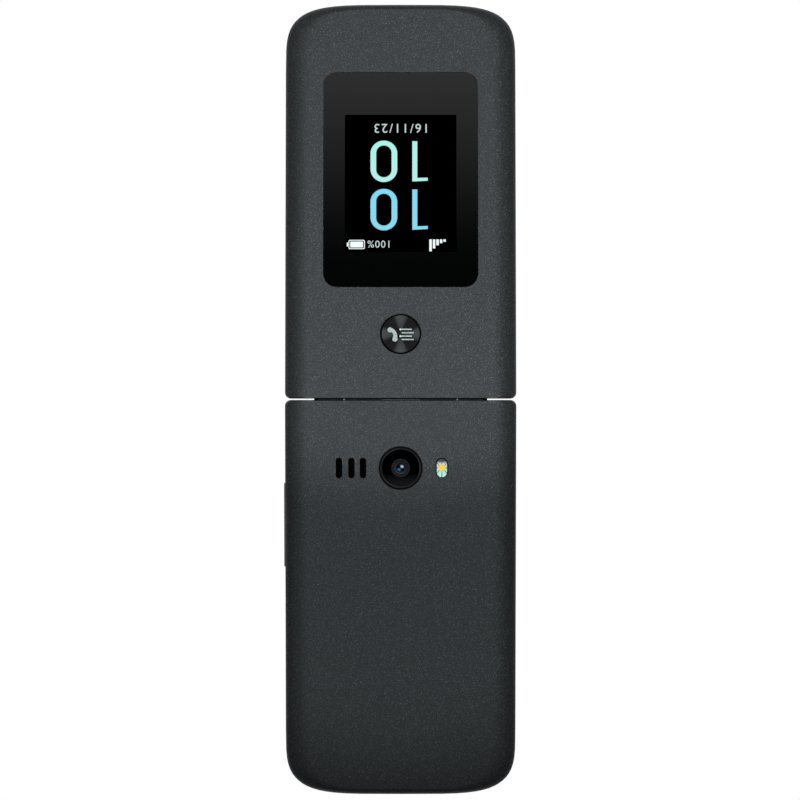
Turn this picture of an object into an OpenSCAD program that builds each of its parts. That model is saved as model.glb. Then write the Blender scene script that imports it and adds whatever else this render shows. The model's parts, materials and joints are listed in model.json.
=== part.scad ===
// Flip phone, open at its stop and lying on its back cover, keypad up.
// Each half is drawn in its own frame: x across, y from the hinge axis to the free end
// and z towards the face that shuts, with the hinge axis along x through the origin.

/* [Halves] */
// Width of both halves
body_w = 57.8; // [57.2:0.1:58.4]
// Hinge axis to the free end of each half
half_len = 99.9; // [98.9:0.1:100.5]
// Hinge axis to the outer face of each half
axis_h = 9.3; // [9.3:0.05:9.5]
// Deck of the keypad above the hinge axis
deck_z = 0.9; // [0.8:0.05:0.9]
// Face of the lid's frame below the hinge axis
lid_face_z = -1.5; // [-1.6:0.05:-1.5]
// Width over which the long sides roll off
side_roll = 6; // [5.5:0.1:6.3]
// Length over which the free end rolls off
end_roll = 2; // [1.6:0.1:2.4]
// Radius of the two corners beside the hinge
hinge_corner_r = 1.5; // [1.2:0.1:1.7]
// Width of the bevel along the hinge end of both covers
hinge_bevel = 0.2; // [0.1:0.05:0.3]
// Wall of the lid's outer cover
lid_wall = 1.2; // [1.1:0.05:1.3]
// Wall of the back cover
cover_wall = 1.1; // [1:0.05:1.1]
// Side wall of the keypad housing
housing_wall = 1.3; // [1.2:0.05:1.3]

/* [Hinge] */
// Angle between the two halves at the open stop
open_angle = 160; // [155:1:165]
// Radius of the hinge barrel
barrel_r = 8.2; // [8.1:0.05:8.2]
// Centre of the phone to the first split of the barrel
split_1 = 4.9; // [4.5:0.1:5.2]
// Centre of the phone to the second split of the barrel
split_2 = 13.9; // [13.8:0.1:14.4]
// Centre of the phone to each end of the barrel
barrel_half = 21.6; // [21.4:0.1:21.9]
// Gap at each split of the barrel
split_gap = 0.3; // [0.3:0.05:0.4]
// Gap between the barrel and what it turns in
barrel_gap = 0.2; // [0.2:0.01:0.24]
// Slit between the two halves at the open stop
slit = 0.35; // [0.35:0.05:0.6]
// Radius of the hinge pins where they turn in the lid
pin_r = 2.5; // [2.2:0.1:3]
// Running clearance of those pins
pin_clearance = 0.06; // [0.03:0.01:0.08]
// Length of those pins inside the centre knuckle
pin_seat = 2.2; // [1.5:0.1:3]

/* [Outer display] */
// Width of the glossy lens
outer_lens_w = 38.8; // [38:0.1:39.4]
// Hinge axis to the near edge of the lens
outer_lens_y = 26.95; // [26.6:0.05:27.2]
// Length of the lens
outer_lens_len = 54.75; // [54:0.05:55]
// Corner radius of the lens
outer_lens_r = 3.5; // [3:0.1:4]
// Hinge axis to the centre of the contacts key
contacts_y = 14.95; // [14.8:0.05:15.1]
// Radius of the contacts key
contacts_r = 4.7; // [4.5:0.1:4.8]
// Radius of the opening round the contacts key
contacts_hole_r = 5.05; // [5.05:0.05:5.3]

/* [Inner display] */
// Width of the inner lens
main_lens_w = 54.4; // [54:0.1:54.6]
// Hinge axis to the near edge of the inner lens
main_lens_y = 10.2; // [10:0.1:10.6]
// Free end to the far edge of the inner lens
main_lens_end = 1.6; // [1.5:0.1:2]

/* [Back] */
// Hinge axis to the centre of the camera, the sound slots and the flash
camera_y = 15.8; // [15.6:0.1:16]
// Radius of the camera's ring
camera_ring_r = 5.45; // [5.2:0.05:5.5]
// Radius of the camera's window
camera_window_r = 4.7; // [4.5:0.05:4.8]
// Centre of the phone to each sound slot
slot_x = [9.4, 12.3, 15.4];
// Width and length of a sound slot
slot_size = [1.6, 5.3];
// Centre of the phone to the flash
flash_x = 10.3; // [10:0.1:10.6]
// Width and length of the flash
flash_size = [3.1, 5.1];

/* [Keys] */
// Columns of the number keys, centre to centre
key_pitch_x = 17.5; // [17.4:0.1:17.6]
// Rows of keys, centre to centre
key_pitch_y = 11.8; // [11.7:0.05:11.9]
// Width and length of a number key
key_size = [16, 9.6];
// Hinge axis to the row with the call, clear and end keys
call_row_y = 38.8; // [38.6:0.1:39]
// Hinge axis to the centre of the navigation ring
nav_y = 22.3; // [22:0.1:22.5]
// Outer radius of the navigation ring
nav_r = 10.2; // [10:0.1:10.3]
// Radius of the OK key
ok_r = 4.7; // [4.4:0.1:4.8]
// Top of the keys above the deck
key_proud = 0.3; // [0.2:0.05:0.3]
// Travel of a key
key_travel = 0.4; // [0.3:0.05:0.4]
// Radius of the crown along a key
key_crown_r = 60; // [50:5:150]

/* [Volume rocker] */
// Hinge axis to the centre of the rocker
rocker_y = 31.5; // [31.4:0.1:31.6]
// Length of the rocker
rocker_len = 21.2; // [20.8:0.1:21.4]
// Height of the rocker
rocker_h = 3; // [2.6:0.1:3.2]
// How far the rocker stands out of the side
rocker_proud = 0.3; // [0.2:0.05:0.4]

/* [Sockets] */
// Hinge axis to the centre of the headset jack
jack_y = 25.9; // [25.8:0.1:26]
// Radius of the headset jack's bore
jack_r = 1.8; // [1.76:0.01:1.84]
// Depth of the headset jack's bore
jack_depth = 14; // [13.5:0.5:14]
// Width and height of the USB shell
usb_size = [8.94, 3.26];

/* [Hidden] */
$fn = 64;
tilt = 180 - open_angle;
half_w = body_w / 2;
lid_reach = (half_len - 0.5) * cos(tilt) + (axis_h - 1) * sin(tilt);
hinge_y = (half_len - lid_reach) / 2;

// Lid, from its outer face to the face that shuts
lid_split_z = -4.4;
part_gap = 0.1;
lid_floor_z = -axis_h + lid_wall;
outer_lens_z = [-axis_h + 0.05, -axis_h + 0.95];
outer_panel_z = [outer_lens_z[1], -6.5];
lid_board_z = [-5.6, -5];
main_lens_z = [-2.5, lid_face_z - 0.05];
main_panel_z = [lid_board_z[1], main_lens_z[0]];
main_panel_size = [53.6, 76.9];
main_panel_y = 12.5;

// Base, from its outer face to the deck
base_split_z = -5.6;
cover_floor_z = -axis_h + cover_wall;
chassis_z = cover_floor_z;
tray_z = [-3.95, -3.1];
board_z = [-3.1, -2.3];
dome_z = [-2.3, -2.2];
dome_rise = 0.4;
dome_top_z = dome_z[1] + dome_rise;
mat_z = [-2.2, -1.3];
deck_t = 1.2;
deck_under_z = deck_z - deck_t;
flange_t = 0.4;
key_top_z = deck_z + key_proud;
plunger_z = dome_top_z + key_travel + 0.15;
battery_size = [42, 54];
battery_y = 35;
battery_z = [-8.15, tray_z[0]];
camera_seat_z = -7.2;
window_z = [-axis_h + 0.2, -8.4];
flash_z = [-7.6, -6.8];
speaker_x = -12.4;
speaker_z = [-8.05, -4.8];
socket_x = [-12, 5];
socket_y = 27.1;
socket_size = [15, 9];
contacts_block_y = 33.35;
rocker_z = -2.35;
rocker_room_y = 25.4;
switch_x = 1.8 - half_w;
jack_z = -3.35;
usb_z = -2.95;
usb_len = 7.4;
mic_x = 8;
mic_y = 95;
boss_xy = [[23.2, 32], [22, 93.3]];
screw_head_r = 1.4;
tongue_y = [46, 64, 82];

// Outline of a half seen square on: a superellipse at the free end
end_b = 16.5;
end_nx = 4.6;
end_ny = 3.9;
end_steps = 32;
barrel_cut_half = barrel_half + 0.25;
barrel_cut_r = barrel_r + barrel_gap;
hinge_depth = 9.4;
far = 200;

NUMBER_KEYS = ["key_1", "key_2", "key_3", "key_4", "key_5", "key_6",
               "key_7", "key_8", "key_9", "key_star", "key_0", "key_hash"];

// ---- Frames of the two halves ----

module in_base() {
    translate([0, hinge_y, axis_h])
        rotate([0, 0, 180])
            children();
}

module in_lid() {
    translate([0, hinge_y, axis_h])
        rotate([tilt, 0, 0])
            children();
}

// ---- Outlines ----

function signed_pow(v, e) = sign(v) * pow(abs(v), e);

// Where the hinge end of a half lies at height z: the plane that halves the open angle
function hinge_end_y(z, gap) = z * tan(tilt / 2) + gap;

// Outline from the hinge end y0 to the free end, drawn in by side and end
function half_outline(y0, side, end, r) =
    let (w = half_w - side, y1 = half_len - end)
    concat(
        [for (i = [0:4])
            let (a = 270 + i * 22.5)
            [w - r + r * cos(a), y0 + r + r * sin(a)]],
        [for (i = [0:end_steps])
            let (a = i * 180 / end_steps)
            [w * signed_pow(cos(a), 2 / end_nx),
             y1 - end_b + end_b * signed_pow(sin(a), 2 / end_ny)]],
        [for (i = [0:4])
            let (a = 180 + i * 22.5)
            [r - w + r * cos(a), y0 + r + r * sin(a)]]);

// The outline at height z of a shell whose outer edges roll off between z_low and z_high
function rolled_ring(z, z_low, z_high, inset, y0) =
    let (t = min(1, max(0, (z - z_low) / (z_high - z_low))),
         drawn = 1 - sqrt(1 - (1 - t) * (1 - t)))
    [for (p = half_outline(y0, inset + side_roll * drawn, inset + end_roll * drawn,
                           hinge_corner_r))
        [p[0], p[1], z]];

// Heights of the rings of a rolled shell, closer together near the flat face
function roll_heights(z_low, z_high, steps) =
    [for (i = [0:steps]) z_low + (z_high - z_low) * (1 - cos(90 * i / steps))];

// Skin of triangles through a stack of rings with equal numbers of points
module loft(rings) {
    n = len(rings[0]);
    top = (len(rings) - 1) * n;
    walls = [for (k = [0:len(rings) - 2], i = [0:n - 1])
        let (a = k * n + i, b = k * n + (i + 1) % n)
        each [[a, a + n, b], [b, a + n, b + n]]];
    polyhedron(
        points = [for (ring = rings) each ring],
        faces = concat([[for (i = [0:n - 1]) i]], walls, [[for (i = [n - 1:-1:0]) top + i]]));
}

// A body with rolled edges from the outer face z_low up to z_top; its hinge end lies on
// the slanted plane when gap is given, or stands at y0
module rolled_body(z_low, z_roll, z_top, inset, gap, y0 = undef, steps = 6) {
    heights = concat(roll_heights(z_low, z_roll, steps), z_top > z_roll ? [z_top] : []);
    loft([for (z = heights)
        rolled_ring(z, z_low, z_roll, inset,
                    is_undef(y0) ? hinge_end_y(z, gap) + (z == z_low ? hinge_bevel : 0) : y0)]);
}

// A slab with the half's outline, drawn in by inset, from z0 to z1
module outline_slab(z, inset, y0, r = hinge_corner_r) {
    translate([0, 0, z[0]])
        linear_extrude(z[1] - z[0])
            polygon(half_outline(y0, inset, inset, r));
}

// Rectangle from y0 to y1, with its own corner radius at the hinge end and the free end
module plate(w, y0, y1, r0, r1) {
    for (s = [-1, 1]) {
        translate([s * (w / 2 - r0), y0 + r0]) circle(r0);
        translate([s * (w / 2 - r1), y1 - r1]) circle(r1);
    }
    translate([-w / 2, y0 + r0]) square([w, y1 - y0 - r0 - r1]);
    translate([r0 - w / 2, y0]) square([w - 2 * r0, r0]);
    translate([r1 - w / 2, y1 - r1]) square([w - 2 * r1, r1]);
}

module plate_solid(z, w, y0, y1, r0, r1) {
    translate([0, 0, z[0]])
        linear_extrude(z[1] - z[0])
            plate(w, y0, y1, r0, r1);
}

// Rounded rectangle centred on the origin
module pad(size, r) {
    translate([0, -size[1] / 2])
        plate(size[0], 0, size[1], r, r);
}

module pad_solid(z, size, r, at = [0, 0]) {
    translate([at[0], at[1], z[0]])
        linear_extrude(z[1] - z[0])
            pad(size, r);
}

// Slot with round ends, centred on the origin, longer in y
module stadium(size) {
    for (s = [-1, 1])
        translate([0, s * (size[1] - size[0]) / 2]) circle(size[0] / 2);
    square([size[0], size[1] - size[0]], center = true);
}

module stadium_solid(z, size, at) {
    translate([at[0], at[1], z[0]])
        linear_extrude(z[1] - z[0])
            stadium(size);
}

module block(size, at, z) {
    translate([at[0] - size[0] / 2, at[1] - size[1] / 2, z[0]])
        cube([size[0], size[1], z[1] - z[0]]);
}

module disc(r, at, z) {
    translate([at[0], at[1], z[0]])
        cylinder(r = r, h = z[1] - z[0]);
}

// Broken edge round a hole in an outer face
module countersink(r, at) {
    depth = 0.22;
    translate([at[0], at[1], -axis_h - 0.01])
        cylinder(r1 = r + depth, r2 = r, h = depth);
}

module ring(r_in, r_out, at, z) {
    difference() {
        disc(r_out, at, z);
        disc(r_in, at, [z[0] - 1, z[1] + 1]);
    }
}

// ---- Hinge barrel ----

module along_x(x0, x1, r) {
    translate([x0, 0, 0])
        rotate([0, 90, 0])
            cylinder(r = r, h = x1 - x0);
}

module both_sides() {
    children();
    mirror([1, 0, 0]) children();
}

// Everything beyond the slanted plane at the hinge end, with the two corners rounded
module beyond_hinge_end(gap) {
    r = hinge_corner_r;
    translate([0, gap / cos(tilt / 2), 0])
        rotate([-tilt / 2, 0, 0]) {
            translate([-far / 2, -far, -far / 2]) cube(far);
            both_sides()
                difference() {
                    translate([half_w - r, -1, -far / 2]) cube([r + 1, r + 1, far]);
                    translate([half_w - r, r, -far / 2]) cylinder(r = r, h = far);
                }
        }
}

// Room for the knuckles of the base, cut from the lid
module base_knuckle_room() {
    x1 = split_1 + split_gap / 2;
    along_x(-x1, x1, barrel_cut_r);
    both_sides() along_x(split_2 - split_gap / 2, barrel_cut_half, barrel_cut_r);
}

// Room for the knuckles of the lid, cut from the base
module lid_knuckle_room() {
    both_sides() along_x(split_1 - split_gap / 2, split_2 + split_gap / 2, barrel_cut_r);
}

// Room for the whole barrel, cut from the two covers
module barrel_room() {
    lip = 0.22;
    along_x(-barrel_cut_half, barrel_cut_half, barrel_cut_r);
    translate([-barrel_cut_half, -far / 2, -axis_h - 1])
        cube([2 * barrel_cut_half, far / 2 + hinge_end_y(-axis_h, slit / 2) + lip, axis_h]);
}

// End knuckle of the base, with the chamfered end of the barrel
module end_knuckle() {
    chamfer = 0.75;
    along_x(split_2 + split_gap / 2, barrel_half - chamfer, barrel_r);
    translate([barrel_half - chamfer, 0, 0])
        rotate([0, 90, 0])
            cylinder(r1 = barrel_r, r2 = barrel_r - chamfer, h = chamfer);
}

// ---- Lid ----

module lid_outer_cover() {
    color([0.29, 0.30, 0.31])
    difference() {
        rolled_body(-axis_h, -5.3, lid_split_z, 0, slit / 2);
        rolled_body(lid_floor_z, -5.3, lid_split_z + 1, lid_wall, 0, hinge_depth + 0.2, 4);
        barrel_room();
        outer_display_pocket();
        disc(contacts_hole_r, [0, contacts_y], [-far / 2, -5]);
        countersink(contacts_hole_r, [0, contacts_y]);
    }
}

// Pocket for the outer lens, and the window in its floor for the panel
module outer_display_pocket() {
    gap = 0.12;
    y1 = outer_lens_y + outer_lens_len;
    plate_solid([-far / 2, outer_lens_z[1]], outer_lens_w + 2 * gap, outer_lens_y - gap,
                y1 + gap, outer_lens_r + gap, outer_lens_r + gap);
    pad_solid([-far / 2, -5], [34.1, 43.6], 1, [0, outer_lens_y + outer_lens_len / 2]);
}

module outer_display_lens() {
    color([0.03, 0.03, 0.035])
    plate_solid(outer_lens_z, outer_lens_w, outer_lens_y, outer_lens_y + outer_lens_len,
                outer_lens_r, outer_lens_r);
}

module outer_display_panel() {
    color([0.12, 0.13, 0.15])
    pad_solid(outer_panel_z, [33.5, 43], 0.6, [0, outer_lens_y + outer_lens_len / 2]);
}

// Round key in the cover, held behind it by a flange, with a stem to its switch
module contacts_key() {
    at = [0, contacts_y];
    color([0.08, 0.08, 0.09]) {
        disc(contacts_r, at, [-axis_h + 0.1, lid_floor_z + 0.2]);
        disc(contacts_hole_r + 0.25, at, [lid_floor_z, lid_floor_z + flange_t]);
        disc(1.3, at, [lid_floor_z, -7.3]);
    }
}

module lid_key_switch() {
    at = [0, contacts_y];
    color([0.75, 0.75, 0.77]) {
        block([4.5, 4.5], at, [-6.6, lid_board_z[0]]);
        disc(1, at, [-6.95, -6.5]);
    }
}

// Frame round the inner display, in one piece with the lid's two knuckles
module lid_inner_frame() {
    knuckle = [split_1 + split_gap / 2, split_2 - split_gap / 2];
    color([0.27, 0.28, 0.29])
    difference() {
        union() {
            difference() {
                outline_slab([lid_split_z + part_gap, lid_face_z], 0, -3);
                base_knuckle_room();
                beyond_hinge_end(slit / 2);
            }
            both_sides() along_x(knuckle[0], knuckle[1], barrel_r);
        }
        both_sides() along_x(knuckle[0] - 1, knuckle[1] + 1, pin_r + pin_clearance);
        main_display_room();
        earpiece_room();
    }
}

// Pocket for the inner lens over the window for its panel
module main_display_room() {
    gap = 0.15;
    plate_solid([main_lens_z[0], far / 2], main_lens_w + 2 * gap, main_lens_y - gap,
                half_len - main_lens_end + gap, 2.5 + gap, 8 + gap);
    plate_solid([-far / 2, 0], main_panel_size[0] + 2 * gap, main_panel_y - gap,
                main_panel_y + main_panel_size[1] + gap, 0.6, 0.6);
}

module earpiece_room() {
    block([12.2, 5.2], [0, 93.6], [-4, 0]);
    disc(1.6, [20, 93.2], [-3.7, 0]);
}

module main_display_lens() {
    color([0.03, 0.03, 0.035])
    difference() {
        plate_solid(main_lens_z, main_lens_w, main_lens_y, half_len - main_lens_end, 2.5, 8);
        rotate([0, 0, 90]) stadium_solid([-far / 2, 0], [1.6, 11], [93.6, 0]);
    }
}

module main_display_panel() {
    color([0.08, 0.09, 0.1])
    plate_solid(main_panel_z, main_panel_size[0], main_panel_y,
                main_panel_y + main_panel_size[1], 0.5, 0.5);
}

module earpiece_mesh() {
    color([0.2, 0.2, 0.21])
    rotate([0, 0, 90]) stadium_solid([main_lens_z[0] - 0.15, main_lens_z[0] + 0.35], [1.5, 10.8],
                                     [93.6, 0]);
}

module earpiece_speaker() {
    color([0.55, 0.56, 0.58])
    block([12, 5], [0, 93.6], [-4, main_lens_z[0] - 0.15]);
}

module lid_board() {
    color([0.1, 0.3, 0.2])
    plate_solid(lid_board_z, 48, 11, 91, 1, 1);
}

module lid_bumpers() {
    color([0.1, 0.1, 0.1])
    for (s = [-1, 1])
        for (y = [12.2, half_len - 4.2])
            disc(1.2, [s * 20.5, y], [main_lens_z[1], main_lens_z[1] + 0.35]);
}

module vibration_motor() {
    color([0.7, 0.7, 0.72])
    disc(4, [0, 85], [-7.7, lid_board_z[0]]);
}

module lid_magnet() {
    color([0.6, 0.6, 0.62])
    disc(1.5, [20, 93.2], [-3.7, main_lens_z[0]]);
}

// ---- Base ----

// Deck and side walls round the keys, in one piece with the base's three knuckles
module keypad_housing() {
    color([0.29, 0.30, 0.31])
    difference() {
        union() {
            difference() {
                outline_slab([base_split_z, deck_z], 0, -3);
                outline_slab([base_split_z - 1, deck_under_z], housing_wall, hinge_depth);
                lid_knuckle_room();
                beyond_hinge_end(slit / 2);
            }
            along_x(-split_1 + split_gap / 2, split_1 - split_gap / 2, barrel_r);
            both_sides() end_knuckle();
            both_sides() screw_bosses();
        }
        both_sides() along_x(split_2, barrel_half - 0.5, 4.05);
        both_sides() along_x(split_1 - pin_seat - 0.2, split_1, pin_r + pin_clearance);
        key_openings();
        side_openings();
        both_sides() screw_holes(0.65, -1);
    }
}

module screw_bosses() {
    for (at = boss_xy)
        disc(1.7, at, [tray_z[1], deck_under_z + 0.1]);
}

module screw_holes(r, z_top) {
    for (at = boss_xy)
        disc(r, at, [-far / 2, z_top]);
}

module key_openings() {
    z = [-far / 2, far / 2];
    gap = 0.2;
    for (k = [0:11])
        pad_solid(z, [key_size[0] + 2 * gap, key_size[1] + 2 * gap], 2.2, number_key_at(k));
    for (c = [-1:1])
        pad_solid(z, [key_size[0] + 2 * gap, 8.4 + 2 * gap], 2.2, [c * key_pitch_x, call_row_y]);
    for (s = [-1, 1])
        translate([0, 0, -5]) linear_extrude(10) soft_key_outline(s, gap);
    disc(nav_r + 0.25, [0, nav_y], z);
}

// Holes in the side and end walls: volume rocker, headset jack, USB and microphone
module side_openings() {
    translate([-half_w, rocker_y, rocker_z])
        cube([2 * housing_wall + 1, rocker_len + 0.4, rocker_h + 0.4], center = true);
    translate([0, jack_y, jack_z]) along_x(half_w - 3, half_w + 1, 2.2);
    translate([0, 0, usb_z]) usb_bar(usb_size[0] + 0.3, usb_size[1] + 0.3, half_len - 4, 8);
    disc(0.5, [mic_x, mic_y], [-1, far / 2]);
}

// A flat bar with round edges along y, as a USB shell
module usb_bar(w, h, y0, length) {
    translate([0, y0, 0])
        rotate([-90, 0, 0])
            linear_extrude(length) {
                for (s = [-1, 1]) translate([s * (w - h) / 2, 0]) circle(h / 2);
                square([w - h, h], center = true);
            }
}

// Tray that carries the battery and the modules, screwed to the housing
module chassis() {
    gap = 0.15;
    color([0.16, 0.16, 0.17])
    difference() {
        rolled_body(chassis_z, base_split_z + 0.1, tray_z[1], cover_wall + gap + 0.1, 0,
                    hinge_depth + 0.3, 4);
        chassis_pockets(gap);
        both_sides() screw_holes(0.8, far / 2);
        both_sides() screw_counterbores();
        both_sides() tongue_room();
    }
}

module chassis_pockets(gap) {
    z = [-far / 2, far / 2];
    plate_solid([-far / 2, tray_z[0]], battery_size[0] + 2 * gap, battery_y - gap,
                battery_y + battery_size[1] + gap, 1, 1);
    block([8.8, 8.8], [0, camera_y], z);
    disc(camera_ring_r + 0.1, [0, camera_y], [-far / 2, camera_seat_z]);
    block([13.4, 11.9], [speaker_x, camera_y], [-far / 2, speaker_z[1]]);
    block([2.5, 2.5], [flash_x, camera_y], [-far / 2, flash_z[1]]);
    stadium_solid([-far / 2, flash_z[0]], [flash_size[0] + 0.1, flash_size[1] + 0.1],
                  [flash_x, camera_y]);
    for (x = socket_x)
        block([socket_size[0] + 0.4, socket_size[1] + 0.4], [x, socket_y], z);
    block([20, 5.2], [22.9, jack_y], z);
    block([9.8, 12], [0, half_len - 5.5], z);
    block([6, rocker_room_y], [-27.6, rocker_y], z);
    block([10.6, 3.2], [0, battery_y - 1.5], [-far / 2, tray_z[0]]);
}

module screw_counterbores() {
    for (at = boss_xy)
        disc(screw_head_r + 0.2, at, [-far / 2, -6.4]);
}

module main_board() {
    color([0.08, 0.28, 0.18])
    difference() {
        plate_solid(board_z, 53, 10.2, 96.2, 1, 8);
        board_cutouts([board_z[0] - 1, board_z[1] + 1]);
    }
}

// Room in the board for the screw bosses, the headset jack, the USB port and the rocker
module board_cutouts(z) {
    both_sides()
        for (at = boss_xy)
            disc(1.9, at, z);
    block([20, 5], [22.9, jack_y], z);
    block([usb_size[0], 12], [0, half_len + 5.4 - usb_len], z);
    block([6, rocker_room_y], [-27.6, rocker_y], z);
}

// Foil of switch domes under the keys
module dome_sheet() {
    color([0.8, 0.78, 0.7]) {
        difference() {
            plate_solid(dome_z, 52, 10.6, 92, 1, 6);
            board_cutouts([dome_z[0] - 1, dome_z[1] + 1]);
        }
        for (at = dome_spots())
            dome(at);
    }
}

function number_key_at(k) =
    [(1 - k % 3) * key_pitch_x, call_row_y + (1 + floor(k / 3)) * key_pitch_y];

function dome_spots() = concat(
    [for (k = [0:11]) number_key_at(k)],
    [for (c = [-1:1]) [c * key_pitch_x, call_row_y]],
    [for (s = [-1, 1]) [s * 19, nav_y - 1.5]],
    [for (a = [0:90:270]) [8.7 * cos(a), nav_y + 8.7 * sin(a)]],
    [[0, nav_y]]);

// Shallow cap of a sphere, 4 mm across
module dome(at) {
    half = 2;
    r = (half * half + dome_rise * dome_rise) / (2 * dome_rise);
    intersection() {
        translate([at[0], at[1], dome_top_z - r]) sphere(r);
        disc(half, at, [dome_z[1] - 0.05, dome_top_z + 1]);
    }
}

// Silicone mat with a well for each dome
module keypad_mat() {
    color([0.85, 0.87, 0.86])
    difference() {
        plate_solid(mat_z, 51, 10.8, 91.6, 1, 6);
        board_cutouts([mat_z[0] - 1, mat_z[1] + 1]);
        for (at = dome_spots())
            disc(2.4, at, [mat_z[0] - 1, mat_z[1] + 1]);
        disc(5.6, [0, nav_y], [mat_z[0] - 1, mat_z[1] + 1]);
    }
}

module battery() {
    color([0.75, 0.76, 0.78])
    plate_solid(battery_z, battery_size[0], battery_y, battery_y + battery_size[1], 1, 1);
}

// Block with three contact leaves against the end of the battery
module battery_contacts() {
    color([0.8, 0.65, 0.3]) {
        block([10.4, 2.7], [0, contacts_block_y], [-6.2, tray_z[0]]);
        for (x = [-3.2, 0, 3.2])
            block([1.2, 0.3], [x, battery_y - 0.15], [-6, tray_z[0] - 0.4]);
    }
}

module camera_module() {
    at = [0, camera_y];
    color([0.12, 0.12, 0.13])
    difference() {
        union() {
            block([8.5, 8.5], at, [camera_seat_z, board_z[0]]);
            disc(3.4, at, [window_z[1], camera_seat_z + 0.1]);
        }
        translate([at[0], at[1], window_z[1] - 0.01]) cylinder(r1 = 2.3, r2 = 0.9, h = 0.9);
    }
}

// Ring round the window, with a bevelled lip
module camera_ring() {
    at = [0, camera_y];
    face_z = -axis_h + 0.03;
    bevel = 0.14;
    color([0.1, 0.1, 0.11])
    difference() {
        disc(camera_ring_r, at, [face_z, camera_seat_z]);
        disc(camera_window_r + 0.03, at, [-far / 2, window_z[1]]);
        disc(camera_window_r - 0.6, at, [-9, 0]);
        translate([0, camera_y, face_z - 0.01])
            cylinder(r1 = camera_window_r + 0.4, r2 = camera_window_r, h = bevel);
    }
}

module camera_window() {
    color([0.04, 0.04, 0.05])
    disc(camera_window_r, [0, camera_y], window_z);
}

module flash_led() {
    color([0.9, 0.8, 0.2])
    block([2.4, 2.4], [flash_x, camera_y], flash_z);
}

// Clear moulding over the light, dished inside its rim
module flash_lens() {
    rim = 0.26;
    at = [flash_x, camera_y];
    color([0.8, 0.9, 0.88])
    difference() {
        stadium_solid([-axis_h + 0.05, flash_z[0]], flash_size, at);
        stadium_solid([-axis_h, -axis_h + 0.3], [flash_size[0] - 2 * rim, flash_size[1] - 2 * rim],
                      at);
    }
}

module loudspeaker() {
    at = [speaker_x, camera_y];
    color([0.5, 0.5, 0.52])
    difference() {
        block([13, 11.5], at, speaker_z);
        pad_solid([-9, -7.5], [9.6, 7], 2, at);
    }
}

// Dust mesh glued inside the back cover, behind the sound slots
module speaker_mesh() {
    color([0.05, 0.05, 0.05])
    pad_solid([cover_floor_z, cover_floor_z + 0.1], [10.4, 7.4], 1, [speaker_x, camera_y]);
}

module usb_port() {
    color([0.78, 0.79, 0.8])
    translate([0, 0, usb_z])
    difference() {
        usb_bar(usb_size[0], usb_size[1], half_len - 0.6 - usb_len, usb_len);
        difference() {
            usb_bar(8.34, 2.66, half_len - usb_len + 0.4, usb_len + 1);
            translate([-3.3, half_len - far, -0.35]) cube([6.6, far - 1.8, 0.7]);
        }
    }
}

module headset_jack() {
    color([0.1, 0.1, 0.11])
    translate([0, jack_y, jack_z])
    difference() {
        union() {
            along_x(13.2, half_w - 0.1, 2.15);
            translate([13.2, -2.5, -2.15]) cube([13.8, 5, 4.3]);
        }
        along_x(half_w - 0.1 - jack_depth, half_w + 1, jack_r);
    }
}

module card_sockets() {
    color([0.75, 0.75, 0.76])
    for (x = socket_x)
        difference() {
            block(socket_size, [x, socket_y], [-4.5, board_z[0]]);
            block([12.6, socket_size[1]], [x, socket_y + 1], [-4.2, -3.4]);
        }
}

module microphone() {
    color([0.8, 0.7, 0.4])
    block([3, 2.4], [mic_x, mic_y], [board_z[1], -1.2]);
}

// Bracket inside the side wall with a ridge the rocker tips on and a switch at each end
module volume_switches() {
    color([0.7, 0.7, 0.72]) {
        translate([switch_x + 0.2, rocker_y - 12.2, -4.4]) cube([0.7, 24.4, 3.15]);
        for (s = [-1, 1]) {
            translate([switch_x, rocker_y + s * 6.5 - 1.5, rocker_z - 1.1]) cube([0.4, 3, 2.2]);
            translate([housing_wall - half_w, rocker_y + s * 11.7 - 0.5, -4.4])
                cube([1, 1, 3.15]);
        }
        translate([switch_x + 0.25, rocker_y, rocker_z - 1.1]) cylinder(r = 0.55, h = 2.2);
    }
}

module volume_rocker() {
    x0 = -half_w - rocker_proud;
    x1 = switch_x + 0.25 - 0.55;
    color([0.27, 0.28, 0.29])
    translate([0, rocker_y, rocker_z])
        rotate([0, 90, 0])
            translate([0, 0, x0])
                linear_extrude(x1 - x0)
                    pad([rocker_h, rocker_len], 1.2);
}

// Screws that hold the chassis to the housing
module chassis_screws() {
    color([0.6, 0.6, 0.62])
    both_sides()
        for (at = boss_xy) {
            disc(screw_head_r, at, [-7.2, -6.4]);
            disc(0.65, at, [-6.5, -1.2]);
        }
}

// Spring cartridge in one end knuckle, whose head drives the lid
module hinge_module() {
    color([0.7, 0.7, 0.7])
    mirror([1, 0, 0]) {
        along_x(split_2 + split_gap / 2, barrel_half - 0.7, 4);
        along_x(split_1 - pin_seat, split_2 + split_gap, pin_r);
    }
}

// Plain pin on the other side
module hinge_pin() {
    color([0.75, 0.75, 0.76]) {
        along_x(split_2 + split_gap / 2, barrel_half - 0.7, 4);
        along_x(split_1 - pin_seat, split_2 + split_gap, pin_r);
    }
}

// Removable shell over the whole back
module back_cover() {
    color([0.26, 0.27, 0.28]) {
        difference() {
            rolled_body(-axis_h, base_split_z - part_gap - 0.1, base_split_z - part_gap, 0,
                        slit / 2);
            rolled_body(cover_floor_z, base_split_z - part_gap - 0.1, 0, cover_wall, 0,
                        hinge_depth + 0.2, 4);
            barrel_room();
            back_openings();
            nail_notch();
        }
        both_sides() cover_tongues();
    }
}

// Holes in the back cover for the camera, the sound slots and the flash
module back_openings() {
    z = [-far / 2, -5];
    disc(camera_ring_r + 0.12, [0, camera_y], z);
    for (x = slot_x)
        stadium_solid(z, slot_size, [-x, camera_y]);
    stadium_solid(z, [flash_size[0] + 0.2, flash_size[1] + 0.2], [flash_x, camera_y]);
}

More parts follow.
